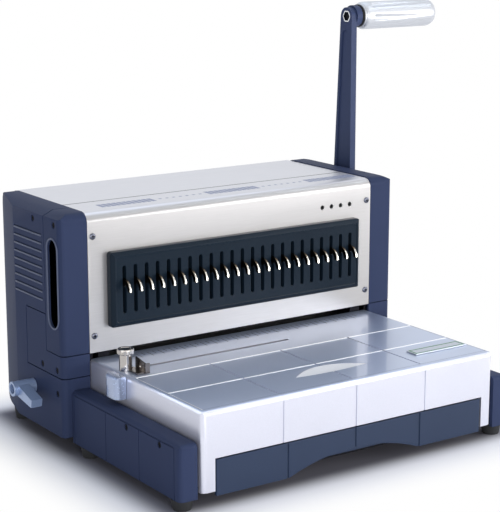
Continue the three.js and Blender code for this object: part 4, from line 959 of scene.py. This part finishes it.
def grip_barrel():
    """The turned barrel, with flutes that run out towards its end."""
    low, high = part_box("lever_grip")
    middle = ((low.y + high.y) / 2, (low.z + high.z) / 2)
    radius = (high.z - low.z) / 2
    neck = GRIP_NECK_SHARE * radius

    def fluted(depth):
        def radius_at(angle):
            pitch = FULL_TURN / FLUTES
            away = (angle - FLUTE_TURN + pitch / 2) % pitch - pitch / 2
            scoop = depth - FLUTE_DEPTH * (away / FLUTE_HALF_ANGLE) ** 2
            return radius - max(0.0, scoop)

        return radius_at

    bore_end = low.x + GRIP_BORE_SHARE * (high.x - low.x)
    shoulder = low.x + GRIP_NECK_LENGTH
    profile = [
        (bore_end, even(GRIP_BORE)),
        (low.x, even(GRIP_BORE)),
        (low.x, even(neck - GRIP_LIP)),
        (low.x + GRIP_LIP, even(neck)),
        (shoulder, even(neck)),
    ]
    for i in range(1, ROUND_STEPS + 1):
        turn = FULL_TURN / 4 * i / ROUND_STEPS
        x = shoulder + GRIP_SHOULDER * (1 - math.cos(turn))
        profile.append((x, even(neck + (radius - neck) * math.sin(turn))))
    flute_start = low.x + FLUTE_START
    profile.append((flute_start, even(radius)))
    for i in range(FLUTE_RINGS + 1):
        share = i / FLUTE_RINGS
        x = flute_start + FLUTE_WALL + (FLUTE_LENGTH - FLUTE_WALL) * share
        profile.append((x, fluted(FLUTE_DEPTH * (1 - share))))
    end_start = high.x - GRIP_END
    end_radius = GRIP_END_SHARE * radius
    for i in range(ROUND_STEPS + 1):
        turn = FULL_TURN / 4 * i / ROUND_STEPS
        x = end_start + GRIP_END * math.sin(turn)
        profile.append((x, even(end_radius + (radius - end_radius) * math.cos(turn))))
    profile.append((high.x - GRIP_LIP, even(end_radius - 2 * GRIP_LIP)))
    shape = Shape()
    lathe(shape, "x", middle, profile, GRIP_SIDES)
    made = shape.piece("grip_barrel", "grip", "grip_aluminium")
    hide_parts("lever_grip")


WASHER_RADIUS = 12.6 * MM
WASHER_LENGTH = 3.2 * MM
WASHER_EDGE = 0.6 * MM


def grip_washer():
    """The black ring between the lever's boss and the grip."""
    low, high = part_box("lever_grip")
    middle = ((low.y + high.y) / 2, (low.z + high.z) / 2)
    right = low.x - SEAT
    left = right - WASHER_LENGTH
    profile = [
        (left, even(WASHER_RADIUS - WASHER_EDGE)),
        (left + WASHER_EDGE, even(WASHER_RADIUS)),
        (right - WASHER_EDGE, even(WASHER_RADIUS)),
        (right, even(WASHER_RADIUS - WASHER_EDGE)),
    ]
    shape = Shape()
    lathe(shape, "x", middle, profile, SCREW_SIDES)
    shape.piece("grip_washer", "lever", "black_plastic")


BOLT_SHARE = 1.17
BOLT_HEIGHT = 3.5 * MM
BOLT_RIM = 0.5 * MM
SOCKET_SHARE = 0.74
SOCKET_LINING = 0.25 * MM
SOCKET_FLOOR_SHARE = 0.35


def bolt_head():
    """The six-sided head of the grip's bolt, with a dark lining of painted shade in its socket."""
    low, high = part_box("grip_bolt")
    middle = ((low.y + high.y) / 2, (low.z + high.z) / 2)
    radius = BOLT_SHARE * (high.z - low.z) / 2
    seat, top = low.x + BOLT_HEIGHT, low.x
    floor_x = seat - SOCKET_FLOOR_SHARE * BOLT_HEIGHT
    socket = SOCKET_SHARE * radius
    head = Shape()
    profile = [
        (seat, hexagon(radius)),
        (top + BOLT_RIM, hexagon(radius)),
        (top, hexagon(radius - BOLT_RIM)),
        (top, hexagon(socket)),
        (floor_x, hexagon(socket)),
    ]
    lathe(head, "x", middle, profile, SCREW_SIDES)
    made = head.piece("bolt_head", "lever", "bolt_steel")
    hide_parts("grip_bolt")
    # Painted shade: a dark lining inside the socket
    socket_shade = Shape()
    profile = [
        (floor_x + SOCKET_LINING, hexagon(socket)),
        (top + BOLT_RIM, hexagon(socket)),
        (top + BOLT_RIM, hexagon(socket - SOCKET_LINING)),
        (floor_x - SOCKET_LINING, hexagon(socket - SOCKET_LINING)),
    ]
    lathe(socket_shade, "x", middle, profile, SCREW_SIDES)
    socket_shade.piece("bolt_socket_shade", "lever", "screw_black")


# Clamp knob of the side guide: a knurled rim with a dished top

KNOB_SHARE = 0.87
KNURLS = 36
KNURL_STEPS = 6
KNURL_DEPTH = 0.35 * MM
KNOB_RIM = 0.5 * MM
KNOB_CHAMFER = 2 * KNOB_RIM
KNURL_START = 1.4 * KNOB_RIM
KNOB_DISH_SHARE = 0.66


def clamp_knob():
    """The knurled knob, which turns the guide's clamp."""
    low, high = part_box("guide_knob")
    middle = ((low.x + high.x) / 2, (low.y + high.y) / 2)
    radius = KNOB_SHARE * (high.x - low.x) / 2

    def knurled(angle):
        return radius - KNURL_DEPTH * (1 - math.cos(angle * KNURLS)) / 2

    profile = [
        (low.z, even(radius - KNOB_CHAMFER)),
        (low.z + KNOB_RIM, even(radius - KNURL_DEPTH)),
        (low.z + KNURL_START, knurled),
        (high.z - KNURL_START, knurled),
        (high.z - KNOB_RIM, even(radius - KNURL_DEPTH)),
        (high.z, even(radius - KNOB_CHAMFER)),
        (high.z, even(KNOB_DISH_SHARE * radius)),
        (high.z - KNOB_RIM, even(KNOB_DISH_SHARE * radius - KNOB_RIM)),
    ]
    shape = Shape()
    lathe(shape, "z", middle, profile, KNURLS * KNURL_STEPS)
    made = shape.piece("clamp_knob", "clamp", "chrome")
    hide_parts("guide_knob")


# Rivet on the left face of the fence plate

FENCE_PLATE_LEFT = 7.9 * MM
RIVET_AHEAD = 10 * MM
RIVET_RISE = 5 * MM
RIVET_RADIUS = 1.3 * MM
RIVET_HEIGHT = 0.8 * MM


def fence_rivet():
    """The domed rivet that holds the fence plate."""
    low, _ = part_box("guide_fence")
    face = low.x + FENCE_PLATE_LEFT
    middle = (low.y + RIVET_AHEAD, low.z + RIVET_RISE)
    profile = [(face + SEAT, even(RIVET_RADIUS))]
    profile += rounded(face, face - RIVET_HEIGHT, RIVET_RADIUS, 1)[:-1]
    shape = Shape()
    lathe(shape, "x", middle, profile, 2 * RIM_SIDES)
    shape.piece("fence_rivet", "guide", "chrome")


# Bed: grooves with painted highlights and painted shade, the thumb recess's dish as a painted highlight,
# and printed lines

INK_HEIGHT = 0.06 * MM
BED_EDGE_LINE = 4.6 * MM
BED_FRONT_LINE = 6.9 * MM
ROW_BEHIND_FRONT = 65.3 * MM
ROW_AHEAD_OF_PANEL = 78.3 * MM
BEAD_WIDTH = 1.8 * MM
BEAD_DEPTH = 0.5 * MM
BEAD_RISE = 0.3 * MM
BEAD_EDGE = 0.15 * MM
BED_COLUMNS = 4
COLUMN_GAP = 1.2 * MM
SIDE_LINE_WIDTH = 0.5 * MM
EDGE_BEAD_WIDTH = 0.6 * MM


def bed_grooves():
    """Beads in the bed's long grooves and along its left side, white as painted highlights, and dark
    border lines that are painted shade of the grooves along the border.
    """
    left, right = BED_LOW.x + BED_EDGE_LINE, BED_HIGH.x - BED_EDGE_LINE
    rows = (BED_LOW.y + ROW_BEHIND_FRONT, PANEL_FACE_Y - ROW_AHEAD_OF_PANEL)
    column = (right - left) / BED_COLUMNS
    bottom, crest = BED_HIGH.z - BEAD_DEPTH, BED_HIGH.z + BEAD_RISE
    shape = Shape()
    for y in rows:
        for i in range(BED_COLUMNS):
            low = (left + i * column + COLUMN_GAP, y - BEAD_WIDTH / 2, bottom)
            high = (left + (i + 1) * column - COLUMN_GAP, y + BEAD_WIDTH / 2, crest)
            shape.block(low, high)
    front = BED_LOW.y + BED_FRONT_LINE
    inner = left + SIDE_LINE_WIDTH
    shape.block((inner, front, bottom), (inner + EDGE_BEAD_WIDTH, rows[1], crest))
    # Painted highlight: white beads stand for the lit edges of the grooves
    shape.piece("bed_groove_highlights", "root", "groove_white", BEAD_EDGE)
    # Painted shade: dark lines over the grooves along the bed's border
    lines = Shape()
    top = BED_HIGH.z + INK_HEIGHT
    for x in (left, right - SIDE_LINE_WIDTH):
        lines.block((x, front, BED_HIGH.z), (x + SIDE_LINE_WIDTH, rows[1], top))
    lines.block((left, front, BED_HIGH.z), (right, front + SIDE_LINE_WIDTH, top))
    lines.piece("bed_border_groove_shade", "root", "line_ink")


DISH_HALF_LENGTH = 42.5 * MM
DISH_BEHIND_FRONT = 38.8 * MM
DISH_BACK = 18.6 * MM
DISH_FRONT = 2.8 * MM
DISH_EDGE_DEPTH = 0.1 * MM
DISH_DEPTH = 1.3 * MM
DISH_BASE_DEPTH = 1.45 * MM
DISH_STEPS = 40
DISH_RINGS = 10


def thumb_dish_highlight():
    """The hollow of the thumb recess, a lens that deepens to its front edge, paler than the bed as a
    painted highlight.
    """
    y = BED_LOW.y + DISH_BEHIND_FRONT

    def lens(scale, z):
        points = []
        for depth, way in ((DISH_BACK, 1), (DISH_FRONT, -1)):
            for i in range(DISH_STEPS):
                share = way * (1 - 2 * i / DISH_STEPS)
                bow = way * depth * (1 - share * share)
                points.append(Vector((
                    PANEL_MIDDLE_X + scale * share * DISH_HALF_LENGTH,
                    y + scale * bow,
                    z,
                )))
        return points

    rings = [lens(1, BED_HIGH.z - DISH_BASE_DEPTH)]
    for i in range(DISH_RINGS):
        share = i / DISH_RINGS
        hollow = DISH_EDGE_DEPTH + (DISH_DEPTH - DISH_EDGE_DEPTH) * math.sin(share * FULL_TURN / 4)
        rings.append(lens(1 - share, BED_HIGH.z - hollow))
    shape = Shape()
    shape.skin(rings)
    shape.piece("thumb_dish_highlight", "root", "dish_silver")


TICK_PITCH = 6.35 * MM
TICK_WIDTH = 0.8 * MM
TICK_BACK = 7 * MM
TICK_LENGTHS = (14 * MM, 8 * MM)
TICK_SPAN_SHARE = 0.86


def bed_scale():
    """A row of lines along the throat, longer at every second place."""
    shape = Shape()
    back = PANEL_FACE_Y - TICK_BACK
    half_count = int(TICK_SPAN_SHARE * (BED_HIGH.x - BED_LOW.x) / 2 / TICK_PITCH)
    for i in range(-half_count, half_count + 1):
        x = PANEL_MIDDLE_X + i * TICK_PITCH
        length = TICK_LENGTHS[i % 2]
        low = (x - TICK_WIDTH / 2, back - length, BED_HIGH.z)
        high = (x + TICK_WIDTH / 2, back, BED_HIGH.z + INK_HEIGHT)
        shape.block(low, high)
    shape.piece("bed_scale_lines", "root", "tick_ink")


STRIP_DEPTH = 53 * MM
TOP_GAP = 0.6 * MM
SEAM_WIDTH = 1.6 * MM
SEAM_DEPTH = 1.5 * MM


def top_seam():
    """The dark strip that fills the gap between the panel's top and the top cover, painted shade of the
    gap.
    """
    middle = PANEL_FACE_Y + STRIP_DEPTH + TOP_GAP / 2
    shape = Shape()
    low = (PANEL_LOW.x + SEAM_DEPTH, middle - SEAM_WIDTH / 2, PANEL_HIGH.z - SEAM_DEPTH)
    high = (PANEL_HIGH.x - SEAM_DEPTH, middle + SEAM_WIDTH / 2, PANEL_HIGH.z + INK_HEIGHT)
    shape.block(low, high)
    shape.piece("top_seam", "root", "seam_ink")


BAR_BLOCKS = 11
BLOCK_LENGTH = 4.6 * MM
BLOCK_GAP = 1.2 * MM
BAR_DEPTH = 15 * MM
BAR_BEHIND_PANEL = 28 * MM
BAR_PITCH = 127 * MM
BAR_COUNT = 3
FIRST_BAR = 60 * MM
DOTS = 7
DOT_PITCH = 8 * MM
DOT_SIZE = 3 * MM


def strip_bars():
    """Plain bars of blocks with small squares between them, printed behind the panel's top edge."""
    shape = Shape()
    y = PANEL_FACE_Y + BAR_BEHIND_PANEL
    low_z, high_z = PANEL_HIGH.z, PANEL_HIGH.z + INK_HEIGHT

    def mark(x, length, depth):
        shape.block((x - length / 2, y - depth / 2, low_z), (x + length / 2, y + depth / 2, high_z))

    first = PANEL_LOW.x + FIRST_BAR
    for i in range(BAR_COUNT):
        for k in range(BAR_BLOCKS):
            shift = (k - (BAR_BLOCKS - 1) / 2) * (BLOCK_LENGTH + BLOCK_GAP)
            mark(first + i * BAR_PITCH + shift, BLOCK_LENGTH, BAR_DEPTH)
    for i in range(BAR_COUNT - 1):
        for k in range(DOTS):
            shift = BAR_PITCH / 2 + (k - (DOTS - 1) / 2) * DOT_PITCH
            mark(first + i * BAR_PITCH + shift, DOT_SIZE, DOT_SIZE)
    shape.piece("strip_bars", "root", "strip_ink")


BORDER_INSET = 1.2 * MM
BORDER_WIDTH = 1.6 * MM


def badge_border():
    """A plain printed border on the bare badge plate."""
    low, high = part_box("badge_plate")
    left, right = low.x + BORDER_INSET, high.x - BORDER_INSET
    front, back = low.y + BORDER_INSET, high.y - BORDER_INSET
    shape = Shape()
    bottom, top = high.z, high.z + INK_HEIGHT
    shape.block((left, front, bottom), (right, front + BORDER_WIDTH, top))
    shape.block((left, back - BORDER_WIDTH, bottom), (right, back, top))
    for x in (left, right - BORDER_WIDTH):
        shape.block((x, front + BORDER_WIDTH, bottom), (x + BORDER_WIDTH, back - BORDER_WIDTH, top))
    shape.piece("badge_border", "root", "border_ink")


panel_screws()
for side, way in (("right", 1), ("left", -1)):
    cover_screws(side, way)
    louvre_lips(side, way)
    return_spring(side)
slot_rim()
grip_barrel()
grip_washer()
bolt_head()
clamp_knob()
fence_rivet()
bed_grooves()
thumb_dish_highlight()
bed_scale()
top_seam()
strip_bars()
badge_border()


# Floor, light and camera

FLOOR_RADIUS = 9.0
FLOOR_SIDES = 96
BODY_MIDDLE = (PANEL_MIDDLE_X, 0.0, 0.0)
FOOTPRINT = (0.195, 0.165, 0.0)
# Distances from the footprint at which the floor's white is full and its painted shadow ends
FULL_WHITE = 0.09
PAINTED_SHADOW_END = 0.035
PAINTED_SHADOW_TONE = (0.20, 0.20, 0.24, 1)
FLOOR_CLOUD = 0.8
FLOOR_TONES = ((0.84, 0.85, 0.93, 1), (0.87, 0.88, 0.95, 1))


def floor():
    """A wide pale floor below the feet, seen and mirrored as white away from the machine, with a painted
    shadow: a dark tone under the machine.
    """
    finish = Finish("pale_floor")
    away = finish.vector("ABSOLUTE", finish.vector("SUBTRACT", finish.place(), BODY_MIDDLE))
    beyond = finish.vector("MAXIMUM", finish.vector("SUBTRACT", away, FOOTPRINT))
    distance = finish.vector("LENGTH", beyond, output="Value")
    tone = finish.blend(finish.noise(FLOOR_CLOUD), *FLOOR_TONES)
    # Painted shadow: the floor's colour turns dark under the machine
    tone = finish.blend(finish.rise(distance, 0.0, PAINTED_SHADOW_END), PAINTED_SHADOW_TONE, tone)
    lit = finish.node("ShaderNodeBsdfDiffuse", inputs={"Color": tone})
    white = finish.node("ShaderNodeEmission", inputs={"Strength": 1.0})
    share = finish.open_view() * finish.rise(distance, 0.0, FULL_WHITE)
    mixed = finish.node("ShaderNodeMixShader", inputs={0: share, 1: lit, 2: white})
    finish.node("ShaderNodeOutputMaterial", inputs={"Surface": mixed})
    mesh = bpy.data.meshes.new("floor")
    shell = bmesh.new()
    bmesh.ops.create_circle(shell, cap_ends=True, segments=FLOOR_SIDES, radius=FLOOR_RADIUS)
    shell.to_mesh(mesh)
    shell.free()
    mesh.materials.append(finish.material)
    made = bpy.data.objects.new("floor", mesh)
    scene.collection.objects.link(made)
    made.location.z = cad_box[0].z


def lamp(name, place, size, power, colour):
    """A soft lamp that points at the machine."""
    data = bpy.data.lights.new(name, "AREA")
    data.shape = "RECTANGLE"
    data.size, data.size_y = size
    data.energy = power
    data.color = colour
    made = bpy.data.objects.new(name, data)
    scene.collection.objects.link(made)
    made.location = place
    made.rotation_mode = "QUATERNION"
    made.rotation_quaternion = (LAMP_AIM - Vector(place)).to_track_quat("-Z", "Y")


BRIGHT_WAY = (0.72, 0.59, 0.37)
BRIGHT_ROOM = (0.93, 0.95, 1.0, 1)
DIM_ROOM = (0.78, 0.87, 1.0, 1)
ROOM_DARK = 0.15
ROOM_BRIGHT = 1.15
DARK_END = -0.2
BRIGHT_END = 0.8
WHITE = (1, 1, 1, 1)
WARM_WHITE = (1.0, 0.975, 0.95)
COOL_WHITE = (0.80, 0.89, 1.0)
SKY_WHITE = (0.62, 0.78, 1.0)
LAMP_AIM = Vector((0, 0, 0.12))

# Place, size, power in watts, colour
LAMPS = {
    "top": ((0.2, 0.7, 1.9), (2.0, 1.4), 7, SKY_WHITE),
    "glint": ((1.3, -0.7, 1.9), (0.3, 0.3), 3, COOL_WHITE),
    "glint_left": ((-0.8, 1.6, 1.3), (0.3, 0.3), 1.5, COOL_WHITE),
    "key_right": ((1.7, -1.9, 0.4), (2.0, 0.7), 20, WARM_WHITE),
    "near_right": ((0.75, -0.9, 0.4), (0.5, 0.4), 3.5, WARM_WHITE),
    "low_front": ((-1.1, -1.9, 0.4), (1.6, 0.6), 26, WARM_WHITE),
}


def studio():
    """A room that is seen and mirrored as white and throws more light from behind, and soft lamps."""
    world = bpy.data.worlds.new("studio")
    scene.world = world
    world.use_nodes = True
    sky = Nodes(world.node_tree)
    way = sky.node("ShaderNodeTexCoord", output="Generated")
    bright = sky.rise(sky.along(way, BRIGHT_WAY), DARK_END, BRIGHT_END)
    strength = ROOM_DARK + (ROOM_BRIGHT - ROOM_DARK) * bright
    colour = sky.blend(bright, DIM_ROOM, BRIGHT_ROOM)
    room = sky.node("ShaderNodeBackground", inputs={"Color": colour, "Strength": strength})
    white = sky.node("ShaderNodeBackground", inputs={"Color": WHITE, "Strength": 1.0})
    mixed = sky.node("ShaderNodeMixShader", inputs={0: sky.open_view(), 1: room, 2: white})
    sky.node("ShaderNodeOutputWorld", inputs={"Surface": mixed})
    for name, values in LAMPS.items():
        lamp(name, *values)


# The camera's place from the middle of the panel's lower front edge line, at floor height
CAMERA_PLACE = Vector((-898.84, -1338.37, 536.06)) * MM
CAMERA_RIGHT = Vector((0.825519, -0.564375, -0.000126))
CAMERA_UP = Vector((0.123700, 0.180720, 0.975725))
CAMERA_LENS = 112.42
CAMERA_SENSOR = 36.0
CAMERA_CLIP = (0.05, 50)


def camera():
    """The camera at the photograph's angle."""
    data = bpy.data.cameras.new("camera")
    data.lens = CAMERA_LENS
    data.sensor_width = CAMERA_SENSOR
    data.clip_start, data.clip_end = CAMERA_CLIP
    made = bpy.data.objects.new("camera", data)
    scene.collection.objects.link(made)
    back = CAMERA_RIGHT.cross(CAMERA_UP)
    turn = Matrix((CAMERA_RIGHT, CAMERA_UP, back)).transposed()
    place = CAMERA_PLACE + Vector((PANEL_MIDDLE_X, PANEL_FACE_Y, 0))
    made.matrix_world = Matrix.Translation(place) @ turn.to_4x4()
    scene.camera = made


floor()
studio()
camera()
scene.view_settings.view_transform = "Standard"
